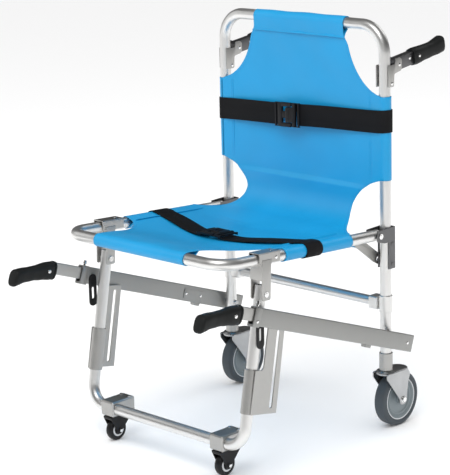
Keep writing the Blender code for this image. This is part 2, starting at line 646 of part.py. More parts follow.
def make_lock_lever(side, word):
    """A slotted lever beside the rail's inner face; its grip plate is thicker below the rail."""
    name = f"lock_lever_body_{word}"
    pivot = frames[f"rail_{word}"] @ Vector((0, -LEVER_S, -0.006))
    body(name, f"rail_{word}", pivot)
    half = LEVER_W / 2
    crown = circle((0, 0), half, 8, 0, pi)
    outline = crown + [(-half + 0.001, -LEVER_LENGTH + 0.006), (-half + 0.006, -LEVER_LENGTH),
                       (half - 0.006, -LEVER_LENGTH), (half - 0.001, -LEVER_LENGTH + 0.006)]
    window = slot((0, -LEVER_LENGTH + 0.018), (0, -0.020), 0.009)
    thin = x_plate(f"lock_lever_{word}", side, RAIL_IN - 0.0027, RAIL_IN - GAP, outline, (window,))
    low_z = -0.034
    ring = [(half - 0.001, low_z), (half - 0.001, -LEVER_LENGTH + 0.006), (half - 0.006, -LEVER_LENGTH),
            (-half + 0.006, -LEVER_LENGTH), (-half + 0.001, -LEVER_LENGTH + 0.006), (-half + 0.001, low_z)]
    thick = x_plate("thick", side, RAIL_IN - 0.002, RAIL_IN + 0.0095, ring)
    thick = cut(thick, x_plate("slot", side, RAIL_IN - 0.01, RAIL_IN + 0.02, window))
    stud = x_rod("stud", side, RAIL_IN - 0.0015, RAIL_IN + RAIL_WALL, 0, 0, PIN_R, 12)
    lever = joined(thin, thick, stud)
    lever.name = f"lock_lever_{word}"
    hang(lever, name, BLACK_PLASTIC)


# ---- rear casters -------------------------------------------------------------------------------------
def make_rear_caster(side, word):
    x = side * BACK_HALF
    swivel, wheel = f"rear_caster_{word}", f"rear_wheel_{word}"
    body(swivel, "back", (x, 0, FORK_HEAD_Z))
    body(wheel, swivel, (x, REAR_TRAIL, WHEEL_R))

    top, bottom = SOCKET_TOP, FORK_HEAD_Z + 0.0006
    ledge = FORK_HEAD_Z + 0.0141
    stem_r, bore, skin = 0.006, TUBE_R + GAP, TUBE_R + GAP + SLEEVE_WALL
    ring = [(skin, top), (skin, bottom), (stem_r + GAP, bottom), (stem_r + GAP, ledge), (bore, ledge), (bore, top)]
    hang(turned(f"caster_socket_{word}", ring, Matrix.Translation((x, 0, 0))), "back", SATIN, local=False)

    inner, plate_t = WHEEL_W / 2 + 0.004, 0.003
    crown = FORK_HEAD_Z - 0.004
    eye = circle((REAR_TRAIL, WHEEL_R), 0.013, 8, -pi * 0.95, pi * 0.98)
    side_view = [(-0.019, crown), (-0.017, crown - 0.012)] + eye + [(0.036, crown - 0.022), (0.021, crown)]
    fork = plate(f"rear_fork_{word}", side_view, x - inner - plate_t, x + inner + plate_t)
    space = block("space", (x - inner, -0.08, 0.0), (x + inner, 0.15, 2 * WHEEL_R + 0.0035))
    eye_hole = rod("hole", (x - 0.05, REAR_TRAIL, WHEEL_R), (x + 0.05, REAR_TRAIL, WHEEL_R), AXLE_R + GAP, sides=12)
    fork = cut(fork, space, eye_hole)
    head = rod("head", (x, 0, crown - 0.003), (x, 0, FORK_HEAD_Z), 0.021, 0.017, sides=20)
    stem = rod("stem", (x, 0, FORK_HEAD_Z - 0.002), (x, 0, ledge - 0.001), stem_r, sides=12)
    fork = joined(fork, head, stem)
    fork.name = f"rear_fork_{word}"
    hang(fork, swivel, STEEL, local=False)

    reach = inner + plate_t + GAP
    axle = joined(
        rod(f"rear_axle_{word}", (x - reach - 0.001, REAR_TRAIL, WHEEL_R), (x + reach + 0.001, REAR_TRAIL, WHEEL_R),
            AXLE_R, sides=12),
        rod("head", (x - reach - 0.004, REAR_TRAIL, WHEEL_R), (x - reach, REAR_TRAIL, WHEEL_R), 0.0065, sides=6),
        rod("nut", (x + reach, REAR_TRAIL, WHEEL_R), (x + reach + 0.004, REAR_TRAIL, WHEEL_R), 0.0065, sides=6))
    axle.name = f"rear_axle_{word}"
    hang(axle, swivel, STEEL, local=False)

    half, rim = WHEEL_W / 2, WHEEL_R - TREAD
    tread = [(rim, half - 0.002), (WHEEL_R - 0.006, half), (WHEEL_R - 0.0012, half - 0.006), (WHEEL_R, 0),
             (WHEEL_R - 0.0012, -half + 0.006), (WHEEL_R - 0.006, -half), (rim, -half + 0.002)]
    place = along_x(x, REAR_TRAIL, WHEEL_R)
    hang(turned(f"rear_tyre_{word}", tread, place, 32), wheel, TYRE_GREY, local=False)
    hub_rim, web, boss, bore = rim - GAP, 0.005, 0.013, AXLE_R + GAP
    hub = [(hub_rim, half - 0.003), (hub_rim - 0.006, half - 0.003), (hub_rim - 0.009, web), (boss, web),
           (boss - 0.001, half), (bore, half)]
    hub += [(r, -h) for r, h in hub[::-1]]
    hang(turned(f"rear_hub_{word}", hub[::-1], place, 24), wheel, HUB_GREY, local=False)


# ---- front casters ------------------------------------------------------------------------------------
def make_front_caster(side, word):
    x = side * FRONT_CASTER_X
    swivel, wheel = f"front_caster_{word}", f"front_wheel_body_{word}"
    body(swivel, "legs", (x, FRONT_STEM_Y, FRONT_HEAD_Z))
    axle_y = FRONT_STEM_Y - FRONT_TRAIL
    body(wheel, swivel, (x, axle_y, FRONT_WHEEL_R))

    floor = FRONT_HEAD_Z + 0.0006
    front, roof = BOTTOM_BAR.y - TUBE_R - BLOCK_LIP, BOTTOM_BAR.z + TUBE_R + BLOCK_ROOF
    block_piece = rounded(block(f"front_caster_block_{word}", (x - BLOCK_W / 2, front, floor),
                                (x + BLOCK_W / 2, BOTTOM_BAR.y + BLOCK_TAIL, roof)), 0.003, 1)
    bar_hole = rod("bar_hole", (x - 0.05, BOTTOM_BAR.y, BOTTOM_BAR.z), (x + 0.05, BOTTOM_BAR.y, BOTTOM_BAR.z),
                   TUBE_R + GAP, sides=20)
    stem_top = FRONT_HEAD_Z + 0.0232
    stem_hole = rod("stem_hole", (x, FRONT_STEM_Y, FRONT_HEAD_Z - 0.02), (x, FRONT_STEM_Y, stem_top + 0.0015),
                    0.005 + GAP, sides=12)
    block_piece = cut(block_piece, bar_hole, stem_hole)
    block_piece.name = f"front_caster_block_{word}"
    hang(block_piece, "legs", SATIN, local=False)

    inner, wall = FRONT_WHEEL_W / 2 + 0.0012, 0.0028
    crown_z = FRONT_HEAD_Z - 0.001
    eye = circle((axle_y, FRONT_WHEEL_R), 0.009, 6, -pi, pi)
    outline = [(axle_y - 0.024, crown_z - 0.004), (axle_y - 0.024, crown_z)]
    outline += [(axle_y + 0.036, crown_z), (axle_y + 0.036, crown_z - 0.004)] + eye[::-1]
    fork = plate(f"front_fork_{word}", outline, x - inner - wall, x + inner + wall)
    space = block("space", (x - inner, axle_y - 0.06, 0.0), (x + inner, axle_y + 0.06, 2 * FRONT_WHEEL_R + 0.002))
    fork = cut(fork, space)
    head = rod("head", (x, FRONT_STEM_Y, crown_z - 0.004), (x, FRONT_STEM_Y, FRONT_HEAD_Z), 0.0175, sides=20)
    stem = rod("stem", (x, FRONT_STEM_Y, crown_z - 0.002), (x, FRONT_STEM_Y, stem_top), 0.005, sides=12)
    pin = rod("pin", (x - inner - wall - 0.001, axle_y, FRONT_WHEEL_R), (x + inner + wall + 0.001, axle_y, FRONT_WHEEL_R),
              0.003, sides=12)
    fork = joined(fork, head, stem, pin)
    fork.name = f"front_fork_{word}"
    hang(fork, swivel, BLACK_PLASTIC, local=False)

    half, bore = FRONT_WHEEL_W / 2, 0.003 + GAP
    profile = [(bore, half), (0.008, half), (0.0145, half - 0.0015), (FRONT_WHEEL_R - 0.003, half - 0.001),
               (FRONT_WHEEL_R, half - 0.005)]
    profile += [(r, -h) for r, h in profile[::-1]]
    place = along_x(x, axle_y, FRONT_WHEEL_R)
    hang(turned(f"front_wheel_{word}", profile, place, 24), wheel, BLACK_PLASTIC, local=False)


# ---- top carrying handles -----------------------------------------------------------------------------
def make_top_handle(side, word):
    x = side * BACK_HALF
    name = f"top_handle_{word}"
    y, z = HANDLE_PIVOT
    body(name, "back", (0, y, z), HANDLE_SLOPE)
    half = HANDLE_ARM_T / 2
    front = TUBE_R + GAP
    cheek = [(front, z - HANDLE_BRACKET_H), (front, z + 0.017), (y + 0.006, z + 0.012), (y + 0.009, z),
             (y + 0.006, z - 0.010), (front + 0.006, z - HANDLE_BRACKET_H)]
    outer = half + GAP + 0.002
    bracket = plate(f"handle_bracket_{word}", cheek, x - outer, x + outer)
    inside = block("inside", (x - half - GAP, front + SHEET, z - 0.1), (x + half + GAP, 0.1, z + 0.1))
    bracket = cut(bracket, inside)
    pin = rod("pin", (x - outer - 0.0012, y, z), (x + outer + 0.0012, y, z), PIN_R, sides=12)
    screw = rod("screw", (x, front + 0.001, z - 0.036), (x, front + SHEET + 0.0015, z - 0.036), 0.0045, sides=12)
    bracket = joined(bracket, pin, screw)
    bracket.name = f"handle_bracket_{word}"
    hang(bracket, "back", SATIN, local=False)

    r = HANDLE_ARM_H / 2
    outline = circle((0, 0), r, 10, pi / 2, pi) + [(HANDLE_ARM, -r), (HANDLE_ARM, r)]
    hole = circle((0, 0), PIN_R + GAP)
    far_hole = circle((HANDLE_ARM - 0.010, 0.003), 0.0025, 8)
    arm = plate(f"handle_arm_{word}", outline, x - half, x + half, "yz", (hole, far_hole))
    arm = joined(arm, block("tongue", (x - 0.004, HANDLE_ARM - 0.002, -0.008), (x + 0.004, HANDLE_ARM + BAR_TONGUE, 0.008)))
    arm.name = f"handle_arm_{word}"
    hang(arm, name, SATIN)

    shape = grip_outline(HANDLE_GRIP, 0.036, 0.027, 0.034, 0.0, 0.006)
    outline = [(HANDLE_ARM + GAP - u, v) for u, v in shape]
    grip = rounded(plate(f"handle_grip_{word}", outline[::-1], x - 0.014, x + 0.014), 0.007)
    pocket = block("pocket", (x - 0.004 - GAP, HANDLE_ARM - 0.01, -0.008 - GAP),
                   (x + 0.004 + GAP, HANDLE_ARM + BAR_TONGUE + 0.001, 0.008 + GAP))
    grip = cut(grip, pocket)
    grip.name = f"handle_grip_{word}"
    hang(grip, name, BLACK_RUBBER)


# ---- sling, straps and buckles ------------------------------------------------------------------------
def make_sling():
    """Plain panels in the space of the fabric: one in front of the uprights, one between the seat rails."""
    top, shoulder, waist = BACK_TOP - 0.0025, BACK_TOP - SHOULDER_DROP, SEAT_PIVOT[1] + WAIST_RISE
    inset = [(0.105, top), (0.092, top - 0.037), (0.072, top - 0.075), (0.040, shoulder + 0.032), (0.0, shoulder),
             (0.0, waist), (0.018, waist - 0.017), (0.045, waist - 0.047), (0.066, waist - 0.083),
             (0.074, waist - 0.093)]
    half = [(BACK_HALF - x, z) for x, z in inset]
    outline = half + [(-x, z) for x, z in half[::-1]]
    front = -TUBE_R - 0.001
    hang(plate("back_sling", outline, front - SLING_T, front, "xz"), "back", SLING_BLUE)
    inside = SEAT_HALF - TUBE_R - 0.001
    beside_bracket = LEG_BRACKET_IN - SHEET - 0.004
    bracket_rear = LEG_PIVOT_S - 0.072
    half = [(SEAT_HALF - 0.078, -0.002), (SEAT_HALF - 0.053, -0.045), (inside, -0.085),
            (inside, -bracket_rear + 0.006), (beside_bracket, -bracket_rear - 0.002),
            (beside_bracket, -SEAT_LENGTH + 0.1305), (SEAT_HALF - 0.048, -SEAT_LENGTH + 0.0805),
            (SEAT_HALF - 0.088, -SEAT_LENGTH + TUBE_R + 0.001)]
    outline = half + [(-x, y) for x, y in half[::-1]]
    hang(plate("seat_sling", outline, SEAT_SLING_Z, SEAT_SLING_Z + SLING_T, "xy"), "seat", SLING_BLUE)


def strap(name, half, offset, tail, width):
    """Flat webbing across the front of two tubes and round their outer sides, drawn in plan."""
    reach = TUBE_R + offset
    arc = circle((half, 0), reach, 8, -pi / 2, pi)
    path = arc + [(half - tail, reach)]
    path = [(-x, y) for x, y in path[::-1]] + path
    curve = bpy.data.curves.new(name, "CURVE")
    curve.dimensions = "3D"
    curve.extrude = width / 2
    spline = curve.splines.new("POLY")
    spline.points.add(len(path) - 1)
    for point, (x, y) in zip(spline.points, path):
        point.co = (x, y, 0, 1)
    ribbon = bpy.data.objects.new(name, curve)
    parts.objects.link(ribbon)
    ribbon = mesh_of(ribbon)
    wall = ribbon.modifiers.new("wall", "SOLIDIFY")
    wall.thickness = STRAP_T
    wall.offset = 0
    wall.use_even_offset = True
    return mesh_of(ribbon)


def make_straps():
    clear = 0.0068
    chest = strap("chest_strap", BACK_HALF, clear, 0.012, STRAP_W)
    chest.matrix_basis = Matrix.Translation((0, 0, CHEST_STRAP_Z))
    hang(mesh_of(chest), "back", WEBBING)
    w, t, h = BUCKLE
    face = -TUBE_R - clear - STRAP_T / 2 - GAP
    middle = -0.030
    buckle = block("chest_buckle", (middle - w / 2, face - t, CHEST_STRAP_Z - h / 2),
                   (middle + w / 2, face, CHEST_STRAP_Z + h / 2))
    hang(rounded(buckle, 0.003, 2), "back", BLACK_PLASTIC)

    lap = strap("lap_strap", SEAT_HALF, 0.0022, 0.012, STRAP_W)
    lap.matrix_basis = Matrix.Translation((0, -LAP_STRAP_S, 0)) @ Matrix.Rotation(-pi / 2, 4, "X")
    hang(mesh_of(lap), "seat", WEBBING)
    face = TUBE_R + 0.0022 + STRAP_T / 2 + GAP
    buckle = block("lap_buckle", (-w / 2, -LAP_STRAP_S - h / 2, face), (w / 2, -LAP_STRAP_S + h / 2, face + t))
    hang(rounded(buckle, 0.003, 2), "seat", BLACK_PLASTIC)


def stand_on_origin():
    """Moves the chair along Y so that the middle of its footprint is the world origin."""
    bpy.context.view_layer.update()
    depths = [(piece.matrix_world @ vertex.co).y for piece in parts.objects if piece.type == "MESH"
              for vertex in piece.data.vertices]
    empties["stair_chair"].matrix_basis = Matrix.Translation((0, -(min(depths) + max(depths)) / 2, 0))


make_back_frame()
make_crossbar()
make_seat_frame()
make_leg_frame()
make_latch()
for side, word in sides():
    make_seat_bracket(side, word)
    make_leg_bracket(side, word)
    make_strut(side, word)
    pin_at = make_rail(side, word)
    make_front_handle(side, word)
    make_stop_pin(side, word, pin_at)
    make_lock_lever(side, word)
    make_rear_caster(side, word)
    make_front_caster(side, word)
    make_top_handle(side, word)
make_sling()
make_straps()
stand_on_origin()
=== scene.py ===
"""The looks of a folding stair chair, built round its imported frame.

Metres, +Z up, +X to the sitter's left, front towards -Y. Most new pieces are grids of points worked out as
whole arrays: a section carried along a path, a profile turned about an axis, or an outline with rounded rims.
Small brackets are copies of the frame's own solids with their edges softened.
"""

import json
from math import cos, pi, radians, sin, tan

import bmesh
import bpy
import numpy as np
from mathutils import Matrix, Vector


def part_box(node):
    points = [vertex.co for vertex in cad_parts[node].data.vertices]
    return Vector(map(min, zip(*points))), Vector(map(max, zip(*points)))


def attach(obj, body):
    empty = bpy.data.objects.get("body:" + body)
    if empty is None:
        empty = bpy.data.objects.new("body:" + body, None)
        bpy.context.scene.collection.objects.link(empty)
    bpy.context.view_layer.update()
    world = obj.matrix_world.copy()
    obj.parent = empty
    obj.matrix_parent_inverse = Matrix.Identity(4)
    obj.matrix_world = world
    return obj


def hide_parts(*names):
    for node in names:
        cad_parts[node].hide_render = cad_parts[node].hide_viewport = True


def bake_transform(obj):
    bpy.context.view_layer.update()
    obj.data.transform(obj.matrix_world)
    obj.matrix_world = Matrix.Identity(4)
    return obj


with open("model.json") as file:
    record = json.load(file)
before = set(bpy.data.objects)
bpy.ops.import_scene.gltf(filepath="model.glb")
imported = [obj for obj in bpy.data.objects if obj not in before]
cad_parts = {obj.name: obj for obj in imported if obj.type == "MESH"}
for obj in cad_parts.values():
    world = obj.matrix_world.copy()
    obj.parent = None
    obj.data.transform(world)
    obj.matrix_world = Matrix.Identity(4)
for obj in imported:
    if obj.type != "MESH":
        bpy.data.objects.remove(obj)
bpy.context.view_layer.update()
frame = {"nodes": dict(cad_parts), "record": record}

SIDES = (("right", -1), ("left", 1))
BODY_OF = {node: body for body, nodes in frame["record"]["behaviour"]["bodies"].items() for node in nodes}
JOINT_AT = {joint["name"]: np.array(joint["pos_m"]) for joint in frame["record"]["behaviour"]["joints"]
            if "pos_m" in joint}



def middle_of(node_name):
    """The middle of a frame node's box."""
    return np.mean(np.array(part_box(node_name)), axis=0)


def size_of(node_name):
    """The three sizes of a frame node's box."""
    low, high = np.array(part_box(node_name))
    return high - low


# ---- sizes --------------------------------------------------------------------------------------------
TUBE_R = 0.0125
CLOTH = 0.0012                       # thickness of the sling cloth
WRAP_R = TUBE_R + 0.0008 + CLOTH / 2  # middle of the cloth round a tube

UPRIGHT_X, UPRIGHT_Y = middle_of("caster_socket_left")[:2].tolist()
TOP_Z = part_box("back_frame")[1][2] - TUBE_R
SEAT_X = UPRIGHT_X - 0.002
LEG_X = UPRIGHT_X - 0.004
RAIL_X = float(middle_of("sliding_bar_left")[0])

SEAT_SLOPE, LEG_LEAN, RAIL_SLOPE, HANDLE_SLOPE = (radians(a) for a in (3.04, 10.6, 19.3, 8.0))
SEAT_LENGTH = 0.4755
RAIL_LENGTH, RAIL_TAIL, RAIL_H, RAIL_T, RAIL_WALL = 0.482, 0.056, 0.038, 0.016, 0.002
BAR_OUT = {"left": 0.034, "right": 0.072}
GRIP_DROOP = radians(17.0)
GRIP_ROOT = 0.0094                   # from a bar's mouth to the root of its grip
SADDLE = (0.322, 0.384)              # where the leg bracket holds the seat rail, along the seat
SADDLE_RIVET = 0.334
SLEEVE_BORE, SLEEVE_SKIN = TUBE_R + 0.0003, TUBE_R + 0.0026   # a collar's radii round a tube


def tilted(origin, angle):
    """The place of axes turned about X by an angle and moved to an origin."""
    place = np.eye(4)
    place[1:3, 1:3] = [[cos(angle), -sin(angle)], [sin(angle), cos(angle)]]
    place[:3, 3] = origin
    return place


BACK = tilted((0, UPRIGHT_Y, 0), 0)
SEAT = tilted((0, *JOINT_AT["seat_fold"][1:]), -SEAT_SLOPE)
LEGS = tilted((0, *JOINT_AT["leg_fold"][1:]), -LEG_LEAN)
RAIL = tilted((0, *JOINT_AT["rail_fold_left"][1:]), -RAIL_SLOPE)
HANDLE = tilted((0, *JOINT_AT["top_handle_fold_left"][1:]), HANDLE_SLOPE)


# ---- arrays of points ---------------------------------------------------------------------------------
def put(points, place):
    """Points in a place's axes, as world points."""
    points = np.asarray(points, float)
    return points @ place[:3, :3].T + place[:3, 3]


def seen_from_side(place, x=0.0):
    """A place for outlines drawn in another place's (y, z), with their thickness along its X."""
    return place @ np.array([[0, 0, 1, x], [1, 0, 0, 0], [0, 1, 0, 0], [0, 0, 0, 1.0]])


def facing(centre, axis):
    """A place at a centre whose third axis is the given one; the first two are square to it."""
    axis = unit(np.asarray(axis, float))
    first = unit(np.cross(axis, [0, 0, 1] if abs(axis[2]) < 0.9 else [1, 0, 0]))
    place = np.eye(4)
    place[:3] = np.stack([first, np.cross(axis, first), axis, np.asarray(centre, float)], -1)
    return place


def unit(vectors):
    """Vectors divided by their lengths."""
    return vectors / np.maximum(np.linalg.norm(vectors, axis=-1, keepdims=True), 1e-12)


def ease(t):
    """0 to 1 with flat ends: 3t^2 - 2t^3, held outside that range."""
    t = np.clip(t, 0, 1)
    return t * t * (3 - 2 * t)


def circle(radius, count=32):
    """Points at even angles: radius times cosine and sine."""
    turn = np.linspace(0, 2 * pi, count, endpoint=False)
    return np.stack([radius * np.cos(turn), radius * np.sin(turn)], -1)


def oval(width, height, power=2.0, count=40):
    """A superellipse: each coordinate is half the size times the signed 2/power of the cosine or sine."""
    turn = np.linspace(0, 2 * pi, count, endpoint=False)
    c, s = np.cos(turn), np.sin(turn)
    return np.stack([width / 2 * np.sign(c) * np.abs(c) ** (2 / power),
                     height / 2 * np.sign(s) * np.abs(s) ** (2 / power)], -1)


def bent(corners, radius, steps=10, loop=False):
    """A path through corners, each rounded by an arc that touches both of its straight stretches."""
    corners = [np.asarray(c, float) for c in corners]
    radii = radius if hasattr(radius, "__len__") else [radius] * len(corners)
    count = len(corners)
    path = []
    for i, (corner, r) in enumerate(zip(corners, radii)):
        if not loop and i in (0, count - 1) or r == 0:
            path.append(corner[None])
            continue
        back = unit(corners[i - 1] - corner)
        ahead = unit(corners[(i + 1) % count] - corner)
        half = np.arccos(np.clip(back @ ahead, -1, 1)) / 2
        if half > pi / 2 - 1e-3:
            path.append(corner[None])
            continue
        centre = corner + unit(back + ahead) * r / sin(half)
        start, end = corner + back * r / tan(half) - centre, corner + ahead * r / tan(half) - centre
        turn = pi - 2 * half
        t = np.linspace(0, 1, steps + 1)[:, None]
        path.append(centre + (start * np.sin((1 - t) * turn) + end * np.sin(t * turn)) / sin(turn))
    return np.concatenate(path)


def evenly(path, step):
    """A path with points about a step apart all along it."""
    along = np.concatenate([[0], np.cumsum(np.linalg.norm(np.diff(path, axis=0), axis=1))])
    at = np.linspace(0, along[-1], max(int(along[-1] / step), 2) + 1)
    return np.stack([np.interp(at, along, path[:, k]) for k in range(path.shape[1])], -1)


def carry(section, path, side):
    """A closed outline carried along a path in one plane. Its first value goes square to the path in that
    plane, its second along side, the plane's normal. An outline for each row may be given."""
    side = np.asarray(side, float)
    along = unit(np.gradient(path, axis=0))
    square = np.cross(side, along)
    section = np.broadcast_to(section, (len(path), *np.shape(section)[-2:]))
    return path[:, None] + section[..., :1] * square[:, None] + section[..., 1:] * side


def turned(profile, centre, axis, count=48):
    """A profile of (radius, height) turned about an axis through a centre."""
    first, second, axis, centre = facing(centre, axis)[:3].T
    turn = np.linspace(0, 2 * pi, count, endpoint=False)
    rim = np.cos(turn)[:, None] * first + np.sin(turn)[:, None] * second
    profile = np.asarray(profile, float)
    return centre + profile[:, None, 1:] * axis + profile[:, None, :1] * rim


def both_faces(profile):
    """A profile of (radius, height) followed by its mirror image, so that the outline closes."""
    return [*profile, *((radius, -height) for radius, height in profile[::-1])]


def dome(radius, height, seat=0.0):
    """The profile of a domed head: a short straight rim and then an ellipse up to the axis."""
    t = np.linspace(0, pi / 2, 7)
    return np.concatenate([[[0, -seat], [radius, -seat], [radius, 0.25 * height]],
                           np.stack([radius * np.cos(t), height * (0.25 + 0.75 * np.sin(t))], -1)[1:]])


def slab(outline, low, high, fillet, steps=3):
    """Rows of a flat outline with rounded rims: it steps in along its own normals by a quarter circle."""
    outline = np.asarray(outline, float)
    edge = unit(np.roll(outline, -1, 0) - np.roll(outline, 1, 0))
    outward = np.stack([edge[:, 1], -edge[:, 0]], -1)
    area = np.sum(outline[:, 0] * np.roll(outline[:, 1], -1) - outline[:, 1] * np.roll(outline[:, 0], -1))
    outward *= np.sign(area)
    t = np.linspace(0, pi / 2, steps + 1)
    inset = fillet * (1 - np.sin(t))
    rise = fillet * (1 - np.cos(t))
    insets = np.concatenate([inset, inset[::-1]])
    heights = np.concatenate([low + rise, (high - rise)[::-1]])
    flat = outline[None] - insets[:, None, None] * outward[None]
    return np.concatenate([flat, np.broadcast_to(heights[:, None, None], (*flat.shape[:2], 1))], -1)


def rectangle(a0, a1, b0, b1, radius):
    """A rectangle's outline with each corner rounded by an arc."""
    return bent([(a0, b0), (a1, b0), (a1, b1), (a0, b1)], radius, 4, True)


class Surface:
    """Grids of points gathered into one mesh, with each grid's lengths in metres as its map."""

    def __init__(self):
        self.points, self.faces, self.maps, self.total = [], [], [], 0

    def grid(self, points, closed=False, looped=False, start=False, end=False, origin=(0.0, 0.0)):
        """Quads between neighbours of rows x columns points. closed joins the last column to the first,
        looped the last row to the first, and start and end lay a flat face over the first and last row."""
        points = np.asarray(points, float)
        rows, columns = points.shape[:2]
        index = self.total + np.arange(rows * columns).reshape(rows, columns)
        r = np.arange(rows + looped) % rows
        c = np.arange(columns + closed) % columns
        quads = np.stack([index[r[:-1, None], c[:-1]], index[r[:-1, None], c[1:]],
                          index[r[1:, None], c[1:]], index[r[1:, None], c[:-1]]], -1).reshape(-1, 4)
        down = np.linalg.norm(points[r[1:]] - points[r[:-1]], axis=-1).mean(1)
        over = np.linalg.norm(points[:, c[1:]] - points[:, c[:-1]], axis=-1).mean(0)
        u = origin[0] + np.concatenate([[0], np.cumsum(down)])
        v = origin[1] + np.concatenate([[0], np.cumsum(over)])
        u, v = np.meshgrid(u, v, indexing="ij")
        uv = np.stack([u, v], -1)
        self.maps.append(np.stack([uv[:-1, :-1], uv[:-1, 1:], uv[1:, 1:], uv[1:, :-1]], 2).reshape(-1, 2))
        self.faces += quads.tolist()
        for wanted, row in ((start, index[0][::-1]), (end, index[-1])):
            if wanted:
                self.faces.append(row.tolist())
                self.maps.append(np.zeros((columns, 2)))
        self.points.append(points.reshape(-1, 3))
        self.total += rows * columns

    def rod(self, rows):
        """Closed outlines row by row, with a flat face at each end."""
        self.grid(rows, closed=True, start=True, end=True)

    def block(self, outline, low, high, fillet, place, steps=3):
        """A slab with rounded rims, in a place."""
        self.rod(put(slab(outline, low, high, fillet, steps), place))

    def ring(self, profile, centre, axis, count=48):
        """A closed outline of (radius, height) turned about an axis."""
        self.grid(turned(profile, centre, axis, count), closed=True, looped=True)

    def piece(self, name, finish, body=None, nodes=(), solid=True, sharp=40, modifiers=()):
        """The mesh as an object that rides on a body and stands for frame nodes."""
        mesh = bpy.data.meshes.new(name)
        mesh.from_pydata(np.concatenate(self.points).tolist(), [], self.faces)
        layer = mesh.uv_layers.new(name="lengths")
        layer.data.foreach_set("uv", np.concatenate(self.maps).astype(np.float32).ravel())
        bm = bmesh.new()
        bm.from_mesh(mesh)
        bmesh.ops.remove_doubles(bm, verts=bm.verts, dist=2e-6)
        if solid:
            bmesh.ops.recalc_face_normals(bm, faces=bm.faces)
        bm.to_mesh(mesh)
        bm.free()
        return placed(name, mesh, finish, body, nodes, sharp, modifiers)

    def look(self, node_name, finish, sharp):
        """The piece that stands for one frame node, on that node's own body."""
        return self.piece(f"{node_name}_look", finish, BODY_OF[node_name], (node_name,), sharp=sharp)


def in_scene(name, data):
    """An object of a mesh, lamp or camera, linked to the scene."""
    made = bpy.data.objects.new(name, data)
    bpy.context.scene.collection.objects.link(made)
    return made


def placed(name, mesh, finish, body, nodes, sharp, modifiers=()):
    """Puts a mesh in the scene with its finish, rounding modifiers, body and the nodes it stands for."""
    piece = in_scene(name, mesh)
    mesh.materials.clear()
    mesh.materials.append(finish)
    mesh.shade_smooth()
    if sharp:
        mesh.set_sharp_from_angle(angle=radians(sharp))
    for kind, settings in modifiers:
        modifier = piece.modifiers.new(kind.lower(), kind)
        for key, value in settings.items():
            setattr(modifier, key, value)
    if body:
        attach(piece, body)
    if nodes:
        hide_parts(*nodes)
    return piece


def softened(node, finish, width=0.0007, segments=2):
    """A copy of a frame node with its loose triangles joined into flat faces and its edges rounded."""
    mesh = frame["nodes"][node].data.copy()
    bm = bmesh.new()
    bm.from_mesh(mesh)
    bmesh.ops.remove_doubles(bm, verts=bm.verts, dist=1e-5)
    bmesh.ops.dissolve_limit(bm, angle_limit=radians(0.6), verts=bm.verts, edges=bm.edges)
    bm.to_mesh(mesh)
    bm.free()
    rounding = ("BEVEL", {"width": width, "segments": segments, "limit_method": "ANGLE",
                          "angle_limit": radians(32), "harden_normals": False})
    return placed(f"{node}_look", mesh, finish, BODY_OF[node], (node,), 38, (rounding,))


# ---- shader groups ------------------------------------------------------------------------------------
def link_up(tree, links):
    """Joins each output socket to its input."""
    for source, target in links:
        tree.links.new(source, target)


def node(tree, kind, values=(), **settings):
    """A node with its settings and the values of its inputs, by number or name."""
    made = tree.nodes.new(kind)
    for key, value in settings.items():
        setattr(made, key, value)
    for key, value in dict(values).items():
        made.inputs[key].default_value = value
    return made


def group(name, inputs, outputs):
    """An empty shader group with its number inputs and outputs; returns the tree and its two end nodes."""
    tree = bpy.data.node_groups.new(name, "ShaderNodeTree")
    for label, value in inputs.items():
        tree.interface.new_socket(label, in_out="INPUT", socket_type="NodeSocketFloat").default_value = value
    for label in outputs:
        tree.interface.new_socket(label, in_out="OUTPUT", socket_type="NodeSocketFloat")
    return tree, tree.nodes.new("NodeGroupInput"), tree.nodes.new("NodeGroupOutput")


def sums(tree, operation, first, second=None, clamp=False):
    """A Math node of two sockets or numbers; returns its output."""
    made = node(tree, "ShaderNodeMath", operation=operation, use_clamp=clamp)
    for socket, value in zip(made.inputs, (first, second)):
        if value is None:
            continue
        if isinstance(value, (int, float)):
            socket.default_value = value
        else:
            tree.links.new(value, socket)
    return made.outputs[0]


def cloudiness():
    """Slow variation over a surface: two octaves of noise on its own coordinates, as a Value about a half."""
    tree, given, out = group("cloudiness", {"Scale": 20.0, "Contrast": 1.0}, ["Value"])
    where = node(tree, "ShaderNodeTexCoord")
    noise = node(tree, "ShaderNodeTexNoise", {"Detail": 3.0, "Roughness": 0.55})
    link_up(tree, [(where.outputs["Object"], noise.inputs["Vector"]),
                   (given.outputs["Scale"], noise.inputs["Scale"])])
    about_zero = sums(tree, "SUBTRACT", noise.outputs["Fac"], 0.5)
    spread = sums(tree, "MULTIPLY", about_zero, given.outputs["Contrast"])
    tree.links.new(sums(tree, "ADD", spread, 0.5, clamp=True), out.inputs["Value"])
    return tree


def drawn_grain():
    """Fine lines along a tube or bar: noise on the length map, stretched sixty times along its length."""
    tree, given, out = group("drawn_grain", {"Fineness": 900.0}, ["Height"])
    where = node(tree, "ShaderNodeTexCoord")
    stretch = node(tree, "ShaderNodeMapping", {"Scale": (1 / 60, 1, 1)})
    noise = node(tree, "ShaderNodeTexNoise", {"Detail": 2.0, "Roughness": 0.6})
    link_up(tree, [(where.outputs["UV"], stretch.inputs["Vector"]),
                   (stretch.outputs[0], noise.inputs["Vector"]),
                   (given.outputs["Fineness"], noise.inputs["Scale"]),
                   (noise.outputs["Fac"], out.inputs["Height"])])
    return tree


